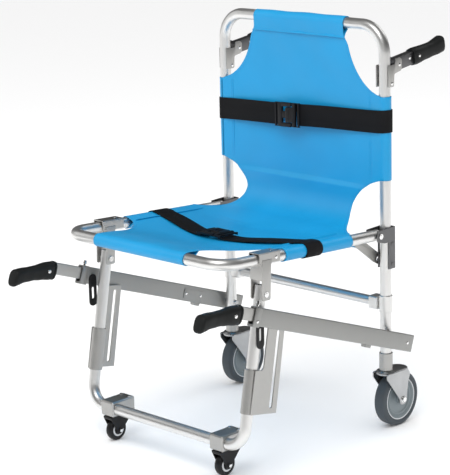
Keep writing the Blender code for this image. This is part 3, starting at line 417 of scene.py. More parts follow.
def cast_grain():
    """Rolled or moulded texture: fine noise with a coarser one under it, on the object's own coordinates."""
    tree, given, out = group("cast_grain", {"Fineness": 700.0}, ["Height"])
    where = node(tree, "ShaderNodeTexCoord")
    fine = node(tree, "ShaderNodeTexNoise", {"Detail": 3.0, "Roughness": 0.65})
    cells = node(tree, "ShaderNodeTexVoronoi", feature="SMOOTH_F1")
    link_up(tree, [(where.outputs["Object"], fine.inputs["Vector"]),
                   (where.outputs["Object"], cells.inputs["Vector"]),
                   (given.outputs["Fineness"], fine.inputs["Scale"])])
    tree.links.new(sums(tree, "MULTIPLY", given.outputs["Fineness"], 0.6), cells.inputs["Scale"])
    both = sums(tree, "ADD", sums(tree, "MULTIPLY", fine.outputs["Fac"], 0.6),
                sums(tree, "MULTIPLY", cells.outputs["Distance"], 0.4))
    tree.links.new(both, out.inputs["Height"])
    return tree


def plain_weave():
    """Threads over and under: a sine hump across each thread, the warp on top in one square and the weft
    in the next, as the sign of the product of both sines."""
    tree, given, out = group("plain_weave", {"Pitch": 0.0009}, ["Height"])
    where = node(tree, "ShaderNodeTexCoord")
    split = node(tree, "ShaderNodeSeparateXYZ")
    tree.links.new(where.outputs["UV"], split.inputs[0])
    turn = [sums(tree, "DIVIDE", sums(tree, "MULTIPLY", split.outputs[i], pi), given.outputs["Pitch"])
            for i in (0, 1)]
    hump = [sums(tree, "ABSOLUTE", sums(tree, "SINE", t)) for t in turn]
    square = sums(tree, "MULTIPLY", sums(tree, "SINE", turn[0]), sums(tree, "SINE", turn[1]))
    over = sums(tree, "GREATER_THAN", square, 0.0)
    warp = sums(tree, "MULTIPLY", hump[0], over)
    weft = sums(tree, "MULTIPLY", hump[1], sums(tree, "SUBTRACT", 1.0, over))
    tree.links.new(sums(tree, "ADD", warp, weft), out.inputs["Height"])
    return tree


def webbing_rib():
    """Herringbone of strap webbing: slanted ribs whose slant turns over at each quarter of the width."""
    tree, given, out = group("webbing_rib", {"Pitch": 0.0022, "Width": 0.05}, ["Height"])
    where = node(tree, "ShaderNodeTexCoord")
    split = node(tree, "ShaderNodeSeparateXYZ")
    tree.links.new(where.outputs["UV"], split.inputs[0])
    lane = sums(tree, "DIVIDE", split.outputs[1], sums(tree, "MULTIPLY", given.outputs["Width"], 0.25))
    slant = sums(tree, "MULTIPLY", sums(tree, "PINGPONG", lane, 1.0),
                 sums(tree, "MULTIPLY", given.outputs["Width"], 0.25))
    turn = sums(tree, "DIVIDE", sums(tree, "MULTIPLY", sums(tree, "ADD", split.outputs[0], slant), 2 * pi),
                given.outputs["Pitch"])
    rib = sums(tree, "MULTIPLY", sums(tree, "ADD", sums(tree, "SINE", turn), 1.0), 0.5)
    tree.links.new(rib, out.inputs["Height"])
    return tree


CLOUD_CONTRAST = 1.6
CLOUDS, DRAWN, CAST, WEAVE, RIB = cloudiness(), drawn_grain(), cast_grain(), plain_weave(), webbing_rib()


def shade(colour, by):
    """A colour times a factor, held between 0 and 1, with full alpha."""
    return (*(min(max(c * by, 0), 1) for c in colour), 1)


def finish(name, slot, colour, roughness, metallic=0.0, vary=(18.0, 0.10), rough_spread=0.06,
           texture=None, values=(), depth=0.00005, strength=0.5, **fixed):
    """A Principled material whose colour and roughness drift with the clouds, and a texture group's bump."""
    made = bpy.data.materials.new(name)
    made.use_nodes = True
    made["slot"] = slot
    tree = made.node_tree
    shader = tree.nodes["Principled BSDF"]
    shader.inputs["Metallic"].default_value = metallic
    for key, value in fixed.items():
        shader.inputs[key.replace("_", " ")].default_value = value
    clouds = node(tree, "ShaderNodeGroup", node_tree=CLOUDS)
    clouds.inputs["Scale"].default_value = vary[0]
    clouds.inputs["Contrast"].default_value = CLOUD_CONTRAST
    blend = node(tree, "ShaderNodeMix", data_type="RGBA")
    blend.inputs["A"].default_value = shade(colour, 1 - vary[1])
    blend.inputs["B"].default_value = shade(colour, 1 + vary[1])
    spread = node(tree, "ShaderNodeMapRange",
                  {"To Min": roughness - rough_spread, "To Max": roughness + rough_spread})
    link_up(tree, [(clouds.outputs["Value"], blend.inputs["Factor"]),
                   (blend.outputs["Result"], shader.inputs["Base Color"]),
                   (clouds.outputs["Value"], spread.inputs["Value"]),
                   (spread.outputs[0], shader.inputs["Roughness"])])
    if texture:
        pattern = node(tree, "ShaderNodeGroup", node_tree=texture)
        for key, value in dict(values).items():
            pattern.inputs[key].default_value = value
        bump = node(tree, "ShaderNodeBump", {"Strength": strength, "Distance": depth})
        link_up(tree, [(pattern.outputs["Height"], bump.inputs["Height"]),
                       (bump.outputs[0], shader.inputs["Normal"])])
    return made


TUBE = finish("anodised_tube", "anodised_tube", (0.80, 0.795, 0.78), 0.40, 1.0, (9.0, 0.04), 0.05,
              DRAWN, {"Fineness": 1400.0}, 0.00003, 0.35)
RAIL_GREY = finish("matte_extrusion", "satin_aluminium", (0.37, 0.37, 0.36), 0.48, 1.0, (14.0, 0.07), 0.06,
                   DRAWN, {"Fineness": 900.0}, 0.00004, 0.5)
SATIN = finish("satin_plate", "satin_aluminium", (0.46, 0.455, 0.44), 0.40, 1.0, (22.0, 0.08), 0.07,
               CAST, {"Fineness": 1500.0}, 0.00003, 0.35)
DARK = finish("dark_plate", "dark_bracket", (0.17, 0.17, 0.175), 0.42, 1.0, (26.0, 0.12), 0.08,
              CAST, {"Fineness": 1300.0}, 0.00004, 0.45)
ZINC = finish("zinc_plate", "zinc_steel", (0.46, 0.465, 0.47), 0.32, 1.0, (30.0, 0.12), 0.08,
              CAST, {"Fineness": 900.0}, 0.00003, 0.3)
BRIGHT = finish("bright_rivet", "zinc_steel", (0.88, 0.88, 0.87), 0.18, 1.0, (60.0, 0.04), 0.04)
PLASTIC = finish("black_moulding", "black_plastic", (0.007, 0.007, 0.008), 0.45, 0.0, (30.0, 0.25), 0.08,
                 CAST, {"Fineness": 1600.0}, 0.00004, 0.5, Specular_IOR_Level=0.30)
GRIP = finish("grip_moulding", "grip_rubber", (0.007, 0.008, 0.008), 0.55, 0.0, (24.0, 0.25), 0.07,
              CAST, {"Fineness": 1100.0}, 0.00006, 0.7, Specular_IOR_Level=0.28)
TYRE = finish("tyre_compound", "grey_tyre", (0.050, 0.062, 0.072), 0.58, 0.0, (30.0, 0.15), 0.08,
              CAST, {"Fineness": 700.0}, 0.00006, 0.5)
HUB = finish("hub_moulding", "grey_hub", (0.19, 0.225, 0.24), 0.42, 0.0, (25.0, 0.07), 0.07,
             CAST, {"Fineness": 1200.0}, 0.00003, 0.35)
PALE = finish("pale_ring", "grey_hub", (0.62, 0.64, 0.66), 0.32, 0.0, (40.0, 0.05), 0.05)
CLOTH_BLUE = finish("sling_cloth", "sling_fabric", (0.006, 0.300, 0.610), 0.38, 0.0, (7.0, 0.07), 0.05,
                    WEAVE, {"Pitch": 0.0010}, 0.00006, 0.45, Specular_IOR_Level=0.40)
THREAD = finish("sling_thread", "sling_fabric", (0.018, 0.20, 0.52), 0.6, 0.0, (60.0, 0.1), 0.05)
WEBBING = finish("strap_webbing", "webbing", (0.007, 0.007, 0.008), 0.80, 0.0, (40.0, 0.30), 0.08,
                 RIB, {"Pitch": 0.0024, "Width": 0.05}, 0.00025, 0.8, Specular_IOR_Level=0.20)


# ---- frame tubes --------------------------------------------------------------------------------------
def open_tube(surface, path, side, radius, wall=0.0018, count=32):
    """A round tube: an outer and an inner circle carried along a path and joined by a ring at each end."""
    outer, inner = (carry(circle(r, count), path, side) for r in (radius, radius - wall))
    surface.grid(np.concatenate([outer, inner[::-1]]), closed=True, looped=True)


def frame_tube(name, half, low, top, bend, place, body, node_name, across=False):
    """A U of tube. Its legs run up from low to top, or along -Y where across is set."""
    def at(x, length):
        return (x, -length, 0) if across else (x, 0, length)

    path = bent([at(-half, low), at(-half, top), at(half, top), at(half, low)], bend, 16)
    side = (0, 0, 1) if across else (0, 1, 0)
    surface = Surface()
    open_tube(surface, put(path, place), place[:3, :3] @ side, TUBE_R)
    surface.piece(name, TUBE, body, (node_name,))


def make_tubes():
    """The back, seat and leg tubes, each a U on its own body."""
    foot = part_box("back_frame")[0][2]
    frame_tube("back_tube", UPRIGHT_X, foot, TOP_Z, 0.060, BACK, "back", "back_frame")
    frame_tube("seat_tube", SEAT_X, -0.006, SEAT_LENGTH, 0.050, SEAT, "seat", "seat_frame", across=True)
    low = (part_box("leg_frame")[0][2] + TUBE_R - LEGS[2, 3]) / cos(LEG_LEAN)
    frame_tube("leg_tube", LEG_X, 0.018, low, 0.045, LEGS, "legs", "leg_frame")


def sleeve(surface, centre, axis, half, bore, skin, rim=0.0008):
    """A short collar round a tube: its wall's outline has rounded rims and is turned about the tube."""
    profile = [(bore, -half), (skin - rim, -half), (skin, -half + rim),
               (skin, half - rim), (skin - rim, half), (bore, half)]
    surface.ring(profile, centre, axis, 40)


def make_crossbar():
    """A tube between the uprights, with a collar and a square boss with rounded rims at each end."""
    z, half = float(middle_of("rear_crossbar")[2]), size_of("rear_crossbar")[2] / 2
    surface = Surface()
    reach = UPRIGHT_X - TUBE_R - 0.0006
    path = evenly(np.array([(-reach, UPRIGHT_Y, z), (reach, UPRIGHT_Y, z)]), 0.05)
    open_tube(surface, path, (0, 1, 0), 0.0105, 0.0016, 28)
    for s in (-1, 1):
        sleeve(surface, (s * UPRIGHT_X, UPRIGHT_Y, z), (0, 0, 1), half, SLEEVE_BORE, SLEEVE_SKIN)
        boss = rectangle(-0.0145, 0.0145, -0.0145, 0.0145, 0.003)
        inward = [[0, 0, -s, s * (reach - 0.0010)], [1, 0, 0, UPRIGHT_Y], [0, 1, 0, z], [0, 0, 0, 1]]
        surface.block(boss, 0.0, 0.024, 0.0012, np.array(inward, float))
    surface.piece("crossbar", TUBE, "back", ("rear_crossbar",))


def heads(name, finish_used, body, places, radius, height, nodes=()):
    """Domed heads on a body: each place is a point and the direction that its head faces."""
    surface = Surface()
    for centre, axis in places:
        surface.grid(turned(dome(radius, height, 0.001), centre, axis, 20), closed=True)
    surface.piece(name, finish_used, body, nodes)


def hexagon(surface, centre, axis, across_flats, height):
    """A hexagon nut: six corners with small rounds, raised along its axis with rounded rims."""
    corner = across_flats / 2 / cos(pi / 6)
    outline = bent(circle(corner, 6), corner * 0.12, 2, True)
    surface.block(outline, 0, height, 0.0006, facing(centre, axis), 2)


# ---- sling --------------------------------------------------------------------------------------------
SHOULDER_Z, WAIST_Z = TOP_Z - 0.1500, SEAT[2, 3] + 0.121
TOP_SLEEVE, FRONT_SLEEVE = 0.134, 0.136       # half widths of the cloth round the two bars
WAIST_HALF = 0.160
SEAT_SAG, BACK_SAG = 0.021, 0.013             # how far the cloth sinks between its tubes
SEAM = 0.034                                  # hem seam from the tube's axis
SEAT_SLEEVE = (0.086, 0.302)                  # where the cloth goes round the seat rails, along the seat
SEAM_LIFT = 0.0022                            # how far a sleeve's loose end stays off the panel
WAIST_CUT = ([0, 0.04, 0.09, 0.16, 0.25, 0.34, 0.45, 0.56, 0.68, 0.80, 0.92, 1],    # share of the cut's run
             [0, 0.30, 0.52, 0.72, 0.90, 1, 0.98, 0.88, 0.73, 0.52, 0.24, 0])       # share of its depth
STRAP_T = 0.0016
STRAP_R = WRAP_R + CLOTH / 2 + STRAP_T        # a strap round a tube
STRAP_HALF = 0.025
BUCKLE_END = 0.024                            # where the webbing starts, from the buckle's middle
WRAP_TURN = radians(205)                      # how far a strap goes round its tube


def scoop(t, power):
    """A concave cut from 0 to 1, as 1 - (1 - t^power)^(1/power): flat at one end and steep at the other."""
    t = np.clip(t, 0, 1)
    return 1 - (1 - t ** power) ** (1 / power)


def sling_line():
    """The sling's middle line in the plane of X = 0: from a seam behind the top bar over it, down the front
    of the uprights, round into the seat, forward over the rails, round the front bar to a seam below."""
    def seat_point(s, rise):
        return put([0, -s, rise], SEAT)[1:]
    front = UPRIGHT_Y - WRAP_R
    over = [(front + SEAM_LIFT, TOP_Z - SEAM)]
    over += [(UPRIGHT_Y + WRAP_R * cos(a), TOP_Z + WRAP_R * sin(a)) for a in np.linspace(-0.35, pi, 16)]
    corner = (front, SEAT[2, 3] + WRAP_R)
    fold = bent([(front, TOP_Z - 0.03), corner, seat_point(SEAT_LENGTH - 0.02, WRAP_R)], 0.060, 14)
    under = [seat_point(SEAT_LENGTH + WRAP_R * sin(a), WRAP_R * cos(a))
             for a in np.linspace(0, pi + 0.35, 16)]
    under.append(seat_point(SEAT_LENGTH - SEAM, WRAP_R - SEAM_LIFT))
    return evenly(np.concatenate([over, fold, under]), 0.0045)


def sling_half_width(y, z, s):
    """Half the cloth's width at each point of the line: bars, shoulder scoops, uprights, waist scoops, seat
    rails and corner scoops. s is how far along the seat a point is."""
    on_back = (z > SEAT[2, 3] + 0.075) & (s < 0.08)
    step, under_bar = 0.010, TOP_Z - 0.030
    shoulder = (ease((TOP_Z - 0.020 - z) / 0.03) * step
                + scoop((under_bar - z) / (under_bar - SHOULDER_Z), 1.75) * (UPRIGHT_X - TOP_SLEEVE - step))
    half = np.where(on_back & (z > SHOULDER_Z), TOP_SLEEVE + shoulder, UPRIGHT_X)
    run = np.concatenate([[0], np.cumsum(np.hypot(np.diff(y), np.diff(z)))])
    start = run[np.argmin(np.abs(z - WAIST_Z) + (s > 0.1) * 9)]
    end = run[np.argmin(np.abs(s - SEAT_SLEEVE[0]) + (z > SEAT[2, 3] + 0.07) * 9)]
    t = (run - start) / (end - start)
    cut = np.interp(t, *WAIST_CUT)
    smooth = np.convolve(np.pad(cut, 1, mode="edge"), [0.25, 0.5, 0.25], "valid")
    cut = np.where((t > 0.1) & (t < 0.9), smooth, cut)
    half = np.where((t > 0) & (t < 1), UPRIGHT_X - (UPRIGHT_X - WAIST_HALF) * cut, half)
    seat_side = (s >= SEAT_SLEEVE[0]) & (run >= end)
    half = np.where(seat_side, SEAT_X, half)
    corner_end = SEAT_LENGTH - 0.028
    corner = scoop((corner_end - s) / (corner_end - SEAT_SLEEVE[1]), 1.9)
    at_front = seat_side & (s > SEAT_SLEEVE[1])
    return np.where(at_front, FRONT_SLEEVE + (SEAT_X - FRONT_SLEEVE) * corner, half)


def side_sleeve(rows, out, back, radius=WRAP_R, seam=SEAM):
    """The cloth's edge round a tube: from its tangent point round the far side, then straight to the seam.
    rows are the tube's axis points, out points away from the panel and back goes through it."""
    turn = np.linspace(0, radians(222), 22)
    x, y = radius * np.sin(turn), -radius * np.cos(turn)
    line = np.linspace(0, 1, 5)[1:]
    x = np.concatenate([x, x[-1] + (-seam - x[-1]) * line])
    y = np.concatenate([y, y[-1] + (-radius + SEAM_LIFT - y[-1]) * line])
    return rows[:, None] + x[None, :, None] * out + y[None, :, None] * back


def make_sling():
    """One cloth over both frames: x is the half width times v, and the panel sinks between its tubes by a sag
    that falls with the square of x; ripples run in from the sleeves' ends."""
    line = sling_line()
    y, z = line[:, 0], line[:, 1]
    local = (np.stack([0 * y, y, z], -1) - SEAT[:3, 3]) @ SEAT[:3, :3]
    s, rise = -local[:, 1], local[:, 2]
    half = sling_half_width(y, z, s)
    v = np.linspace(-1, 1, 91)
    v = np.sign(v) * np.abs(v) ** 0.9
    x = half[:, None] * v
    along = unit(np.gradient(line, axis=0))
    inward = np.stack([-along[:, 1], along[:, 0]], -1)       # behind the back, below the seat
    on_back, on_seat = rise > 0.10, (s > 0.10) & (rise > 0) & (s < SEAT_LENGTH)
    back_sag = BACK_SAG * np.sin(pi * np.clip((z - 0.45) / (TOP_Z - 0.45), 0, 1)) ** 0.8 * on_back
    seat_sag = (SEAT_SAG * ease((SEAT_LENGTH - 0.01 - s) / 0.16) * ease((s - 0.02) / 0.10)
                * (rise > 0) * (rise < 0.10))
    sag = np.maximum(back_sag, seat_sag)
    spread = np.clip(1 - (x / UPRIGHT_X) ** 2, 0, 1)
    ripple = 0.0011 * np.sin(z[:, None] * 46 + 3 * v) * np.sin(v * 5.0 + 0.6) * (on_back | on_seat)[:, None]
    pull = 0.0022 * np.exp(-((z - WAIST_Z + 0.055) / 0.045) ** 2)[:, None] * np.cos(v * 9) * on_back[:, None]
    depth = (sag[:, None] + ripple + pull) * spread
    panel = np.stack([x, y[:, None] + depth * inward[:, :1], z[:, None] + depth * inward[:, 1:]], -1)
    surface = Surface()
    surface.grid(panel)
    for side in (-1, 1):
        out = np.array([side, 0, 0.0])
        up = z[(np.abs(half - UPRIGHT_X) < 1e-6) & (z > WAIST_Z - 0.004)]
        axis_line = np.stack([0 * up + side * UPRIGHT_X, 0 * up + UPRIGHT_Y, up], -1)
        surface.grid(side_sleeve(axis_line, out, np.array([0, 1.0, 0])))
        ahead = s[(np.abs(half - SEAT_X) < 1e-6) & (s >= SEAT_SLEEVE[0])]
        axis_line = put(np.stack([0 * ahead + side * SEAT_X, -ahead, 0 * ahead], -1), SEAT)
        surface.grid(side_sleeve(axis_line, out, -SEAT[:3, 2]))
    wall = ("SOLIDIFY", {"thickness": CLOTH, "offset": 0.0, "use_even_offset": False})
    sling = surface.piece("sling", CLOTH_BLUE, None, (), False, 0, (wall,))
    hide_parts("back_sling", "seat_sling")
    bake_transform(sling)
    return sling, panel


# ---- straps and buckles -------------------------------------------------------------------------------
def ribbon(surface, path, across):
    """A strap: a thin rounded rectangle carried along a path whose width runs along across, row by row."""
    along = unit(np.gradient(path, axis=0))
    across = unit(across - np.sum(across * along, -1, keepdims=True) * along)
    square = np.cross(along, across)
    section = bent([(-STRAP_HALF, -STRAP_T / 2), (STRAP_HALF, -STRAP_T / 2), (STRAP_HALF, STRAP_T / 2),
                    (-STRAP_HALF, STRAP_T / 2)], STRAP_T * 0.45, 2, True)
    surface.rod(path[:, None] + section[:, :1] * across[:, None] + section[:, 1:] * square[:, None])


def chest_strap():
    """The strap crosses the cloth, bows out over the buckle by a Gaussian and goes round each upright."""
    z = float(middle_of("chest_strap")[2]) + 0.003
    middle = float(middle_of("chest_buckle")[0]) + 0.007
    slant = 0.036                                             # its left end lies higher
    turn = np.linspace(0, WRAP_TURN, 14)
    surface = Surface()
    for s in (-1, 1):
        x = np.linspace(middle + s * BUCKLE_END, s * (UPRIGHT_X - 0.004), 40)
        lift = 0.0045 * np.exp(-((x - middle) / 0.055) ** 2) + 0.0012 * np.sin(x * 31)
        x = np.concatenate([x, s * (UPRIGHT_X + STRAP_R * np.sin(turn))])
        y = UPRIGHT_Y - np.concatenate([STRAP_R + lift + 0.0004, STRAP_R * np.cos(turn)])
        path = np.stack([x, y, z + slant * x + 0.0006 * np.sin(x * 26)], -1)
        ribbon(surface, path, np.broadcast_to([0, 0, 1.0], path.shape))
    strap = surface.look("chest_strap", WEBBING, 50)
    place = np.eye(4)
    place[:3, 0], place[:3, 1], place[:3, 2] = (1, 0, slant), (0, 0, 1), (0, -1, 0)
    place[:3, 3] = (middle, UPRIGHT_Y - STRAP_R - 0.0060, z + slant * middle)
    buckle("chest_buckle", place)


def lap_strap():
    """The strap lies over the seat in a slack curve: its place along the seat is a cubic through its ends and
    the buckle, and its height follows the sunk cloth with a lift where it is free."""
    middle = float(middle_of("lap_buckle")[0])
    foremost = 0.250                                          # how far along the seat the buckle lies
    t, turn = np.linspace(0, 1, 46), np.linspace(0.06, WRAP_TURN, 14)
    surface = Surface()
    for s, end in ((-1, 0.198), (1, 0.214)):
        x = middle + s * BUCKLE_END + t * (s * (SEAT_X - 0.004) - middle - s * BUCKLE_END)
        ahead = foremost + (end - foremost) * (ease(t) * 0.75 + t * 0.25)
        sunk = SEAT_SAG * (1 - (x / UPRIGHT_X) ** 2)
        lift = 0.0046 * np.exp(-((x - middle) / 0.045) ** 2) + 0.0030 * np.sin(t * pi) ** 2 + 0.0010
        height = STRAP_R - sunk * ease((1 - t) / 0.12) + lift * ease((1 - t) / 0.10)
        top = np.stack([x, -ahead, height], -1)
        wrap = np.stack([s * (SEAT_X + STRAP_R * np.sin(turn)), 0 * turn - end, STRAP_R * np.cos(turn)], -1)
        path = np.concatenate([top, wrap])
        heading = np.gradient(path[:, 1]) / np.maximum(np.abs(np.gradient(path[:, 0])), 1e-4)
        heading[len(t) - 2:] = 0                              # the strap goes square round its tube
        across = np.stack([-s * heading, np.ones(len(path)), 0 * heading], -1)
        ribbon(surface, put(path, SEAT), across @ SEAT[:3, :3].T)
    strap = surface.look("lap_strap", WEBBING, 50)
    place = SEAT.copy()
    place[:3, 3] = put([middle, -foremost, STRAP_R - SEAT_SAG + 0.0058], SEAT)
    buckle("lap_buckle", place)


def buckle(node_name, place):
    """A side-release buckle, drawn along the strap (a) and across it (b): a socket with open sides, a plug
    whose two prongs show in them, and a ladder of bars at each end for the webbing."""
    surface = Surface()

    def add(a0, a1, b0, b1, low, high, corner, fillet):
        surface.block(rectangle(a0, a1, b0, b1, corner), low, high, fillet, place)

    half = 0.0275
    add(-0.002, 0.024, -0.0175, 0.0175, 0.0, 0.0105, 0.003, 0.0026)           # socket
    add(0.017, 0.026, -half, half, 0.0004, 0.0088, 0.0025, 0.0020)            # socket's shoulder
    for s in (-1, 1):
        add(-0.002, 0.0195, *sorted((s * 0.0245, s * half)), 0.0012, 0.0034, 0.001, 0.0006)
        prong = sorted((s * 0.0185, s * (half + 0.0006)))
        add(-0.020, 0.0135, *prong, 0.0018, 0.0082, 0.0028, 0.0018)
        add(0.024, 0.037, *sorted((s * 0.0255, s * half)), 0.0008, 0.0062, 0.0009, 0.0006)
        add(-0.037, -0.024, *sorted((s * 0.0255, s * half)), 0.0008, 0.0062, 0.0009, 0.0006)
    add(-0.026, -0.014, -half, half, 0.0006, 0.0086, 0.0025, 0.0020)          # plug
    add(-0.016, -0.003, -0.008, 0.008, 0.0022, 0.0072, 0.002, 0.0012)         # its middle guide
    for a in (0.0335, -0.0355):
        add(a, a + 0.0035, -half, half, 0.0034, 0.0074, 0.001, 0.0009)        # webbing bars
    for a in (0.0035, 0.0080, 0.0125):
        add(a, a + 0.0016, -0.0125, 0.0125, 0.0100, 0.0112, 0.0007, 0.0004)   # ribs on the socket
    surface.look(node_name, PLASTIC, 35)


# ---- stitching ----------------------------------------------------------------------------------------
def stitches(surface, path, up, pitch=0.0042, length=0.0029, radius=0.00032):
    """Thread dashes along a path: each is a six-sided spindle, all made as one array of rings."""
    both = evenly(np.concatenate([path, np.broadcast_to(np.asarray(up, float), path.shape) * 1e-3], 1), pitch)
    path, up = both[:, :3], unit(both[1:, 3:])
    along = unit(np.diff(path, axis=0))
    middle = (path[1:] + path[:-1]) / 2
    side = unit(np.cross(along, up))
    t = np.linspace(-1, 1, 5)
    swell = radius * np.sqrt(np.clip(1 - (t * 0.98) ** 2, 0, 1))
    turn = np.linspace(0, 2 * pi, 6, endpoint=False)
    rings = (middle[:, None, None] + (t * length / 2)[None, :, None, None] * along[:, None, None]
             + swell[None, :, None, None] * (np.cos(turn)[None, None, :, None] * side[:, None, None]
                                             + np.sin(turn)[None, None, :, None] * unit(up)[:, None, None]))
    for one in rings:
        surface.rod(one)


def make_stitching(panel):
    """Two rows of thread along each side sleeve's seam and one along each free edge: columns of the panel's
    grid, lifted off the cloth by half its thickness."""
    surface = Surface()
    front = panel[:, panel.shape[1] // 2]
    lifted = CLOTH / 2 + 0.0001
    rows = np.arange(len(panel))
    is_back = (front[:, 2] < SHOULDER_Z) & (front[:, 2] > WAIST_Z) & (front[:, 1] > UPRIGHT_Y - 0.05)
    local_s = -(front - SEAT[:3, 3]) @ SEAT[:3, 1]
    is_seat = ((local_s > SEAT_SLEEVE[0] + 0.004) & (local_s < SEAT_SLEEVE[1] - 0.004)
               & (front[:, 2] > SEAT[2, 3]))
    for pick, up in ((is_back, np.array([0, -1.0, 0])), (is_seat, SEAT[:3, 2])):
        x = panel[pick][:, :, 0]
        for s in (-1, 1):
            for inset in (SEAM - 0.003, SEAM + 0.002):
                away = np.abs(np.abs(x) - (UPRIGHT_X - inset)) + (np.sign(x) != s)
                column = int(np.median(away.argmin(1)))
                stitches(surface, panel[pick, column] + up * lifted, up)
    normal = unit(np.cross(np.gradient(panel, axis=1), np.gradient(panel, axis=0)))
    width = np.abs(panel[:, -1, 0])
    free = (width < UPRIGHT_X - 0.004) & (width > TOP_SLEEVE + 0.004) & (local_s < SEAT_LENGTH)
    breaks = np.flatnonzero(np.diff(free.astype(int))) + 1
    for run in np.split(rows, breaks):
        if free[run[0]] and len(run) > 4:
            for column in (2, -3):
                lift = normal[run, column] * np.sign(normal[run, column] @ np.array([0, -1.0, 1.0]))[:, None]
                stitches(surface, panel[run, column] + lift * lifted, lift)
    thread = surface.piece("seam_thread", THREAD, None, (), sharp=0)
    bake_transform(thread)


# ---- carrying rails and front handles -----------------------------------------------------------------
def grip_rows(length, root, waist, tip, width, droop, waves):
    """A moulded grip from its root (t = 0) to its tip: height and width swell at both ends and dip between;
    a cosine of finger waves runs along the underside; the tip closes as a quarter ellipse. Returns how far
    along each row is, how far it drops, and its outline."""
    closing = 0.955                                           # where the tip starts to close
    t = np.concatenate([np.linspace(0, closing, 46),
                        closing + (1 - closing) * np.sin(np.linspace(0, pi / 2, 9))[1:]])
    knots = [0.0, 0.10, 0.24, 0.45, 0.66, 0.84, 0.95, 1.0]
    heights = [root * 0.96, root * 1.02, root * 0.97, waist * 1.02, waist, tip * 0.96, tip * 1.01, tip]
    widths = width * np.array([0.90, 1, 0.97, 0.84, 0.84, 0.97, 1, 0.97])
    kernel = np.array([1, 4, 6, 4, 1]) / 16
    height, span = (np.convolve(np.pad(np.interp(t, knots, values), 2, mode="edge"), kernel, "valid")
                    for values in (heights, widths))
    ending = np.clip((t - closing) / (1 - closing), 0, 1)
    close = 1 - 0.30 * (1 - np.sqrt(np.clip(1 - (ending * 0.995) ** 2, 0, 1)))
    shape = oval(1.0, 1.0, 3.0, 44)
    section = shape[None] * np.stack([span * close, height * close], -1)[:, None]
    finger = 0.0004 * np.cos(2 * pi * t * waves) * ((t > 0.2) & (t < 0.86))
    section[:, :, 1] += finger[:, None] * np.maximum(-2 * shape[:, 1], 0)
    droops = -t * length * tan(droop) - 0.0026 * ease((t - 0.75) / 0.25) - 0.0024 * (1 - ease(t / 0.3))
    return t * length, droops, section


def front_grip(side, s):
    """The grip on a sliding bar, drawn towards -Y in the rail's axes, with a rivet through its root and a
    rounded lip round its mouth."""
    mouth = RAIL.copy()
    mouth[:3, 3] = put([s * RAIL_X, -RAIL_LENGTH - BAR_OUT[side] - GRIP_ROOT, -0.0005], RAIL)
    along, droop, section = grip_rows(0.1080, 0.0400, 0.0325, 0.0370, 0.030, GRIP_DROOP, 4)
    rows = np.stack([section[..., 0], np.broadcast_to(-along[:, None], section.shape[:2]),
                     section[..., 1] + droop[:, None]], -1)
    surface = Surface()
    surface.rod(put(rows, mouth))
    surface.look(f"front_grip_{side}", GRIP, 60)
    centre = put([0, -0.020, -0.006], mouth)
    heads(f"front_grip_rivet_{side}", BRIGHT, f"front_handle_{side}",
          [(centre + (d * 0.0150, 0, 0), (d, 0, 0)) for d in (-1, 1)], 0.0042, 0.0016)
    lip = Surface()
    ring = np.insert(oval(0.0305, 0.0412, 2.7, 44), 1, 0, axis=1)
    steps = [(-0.0002, 0.82), (0.0, 1.00), (0.0022, 1.02), (0.0042, 1.0), (0.0044, 0.9)]
    lip.rod(put(np.stack([ring * scale + (0, -along, -0.0030) for along, scale in steps]), mouth))
    lip.piece(f"front_grip_lip_{side}", GRIP, f"front_handle_{side}", (), sharp=50)


def lock_lever(side, s):
    """A flat lever with round ends and a slot: the slot's outline joins the outer one face by face."""
    pivot = JOINT_AT[f"bar_lock_swing_{side}"]
    top, bottom, half, slot = 0.011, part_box(f"lock_lever_{side}")[0][2] - pivot[2], 0.0105, 0.0040
    outer = rectangle(-half, half, bottom, top, half * 0.92)
    inner = rectangle(-slot, slot, bottom + 0.016, bottom + 0.044, slot * 0.92)
    turn = np.linspace(0, 2 * pi, 72, endpoint=False)

    def resampled(outline):
        """The outline's points at the same angles, each seen from its middle and scaled to a square."""
        centre = (outline.max(0) + outline.min(0)) / 2
        loop = np.concatenate([outline, outline[:1]])
        across, up = ((loop - centre) / np.ptp(outline, axis=0)).T
        angle = np.unwrap(np.arctan2(up, across))
        order = np.argsort(angle)
        wanted = angle.min() + (turn - angle.min()) % (2 * pi)
        return np.stack([np.interp(wanted, angle[order], loop[order, k]) for k in (0, 1)], -1)

    out, hole = resampled(outer), resampled(inner)
    x0, x1 = sorted((s * 0.2556, s * 0.2600))
    mid = (out + hole) / 2
    rings = [(hole, x0 + 0.0006), (mid, x0), (out * (0.95, 0.99), x0), (out, x0 + 0.0008), (out, x1 - 0.0008),
             (out * (0.95, 0.99), x1), (mid, x1), (hole, x1 - 0.0006)]
    rows = np.stack([np.insert(ring + pivot[1:], 0, x, axis=1) for ring, x in rings])
    surface = Surface()
    surface.grid(rows, closed=True, looped=True)
    surface.look(f"lock_lever_{side}", PLASTIC, 40)


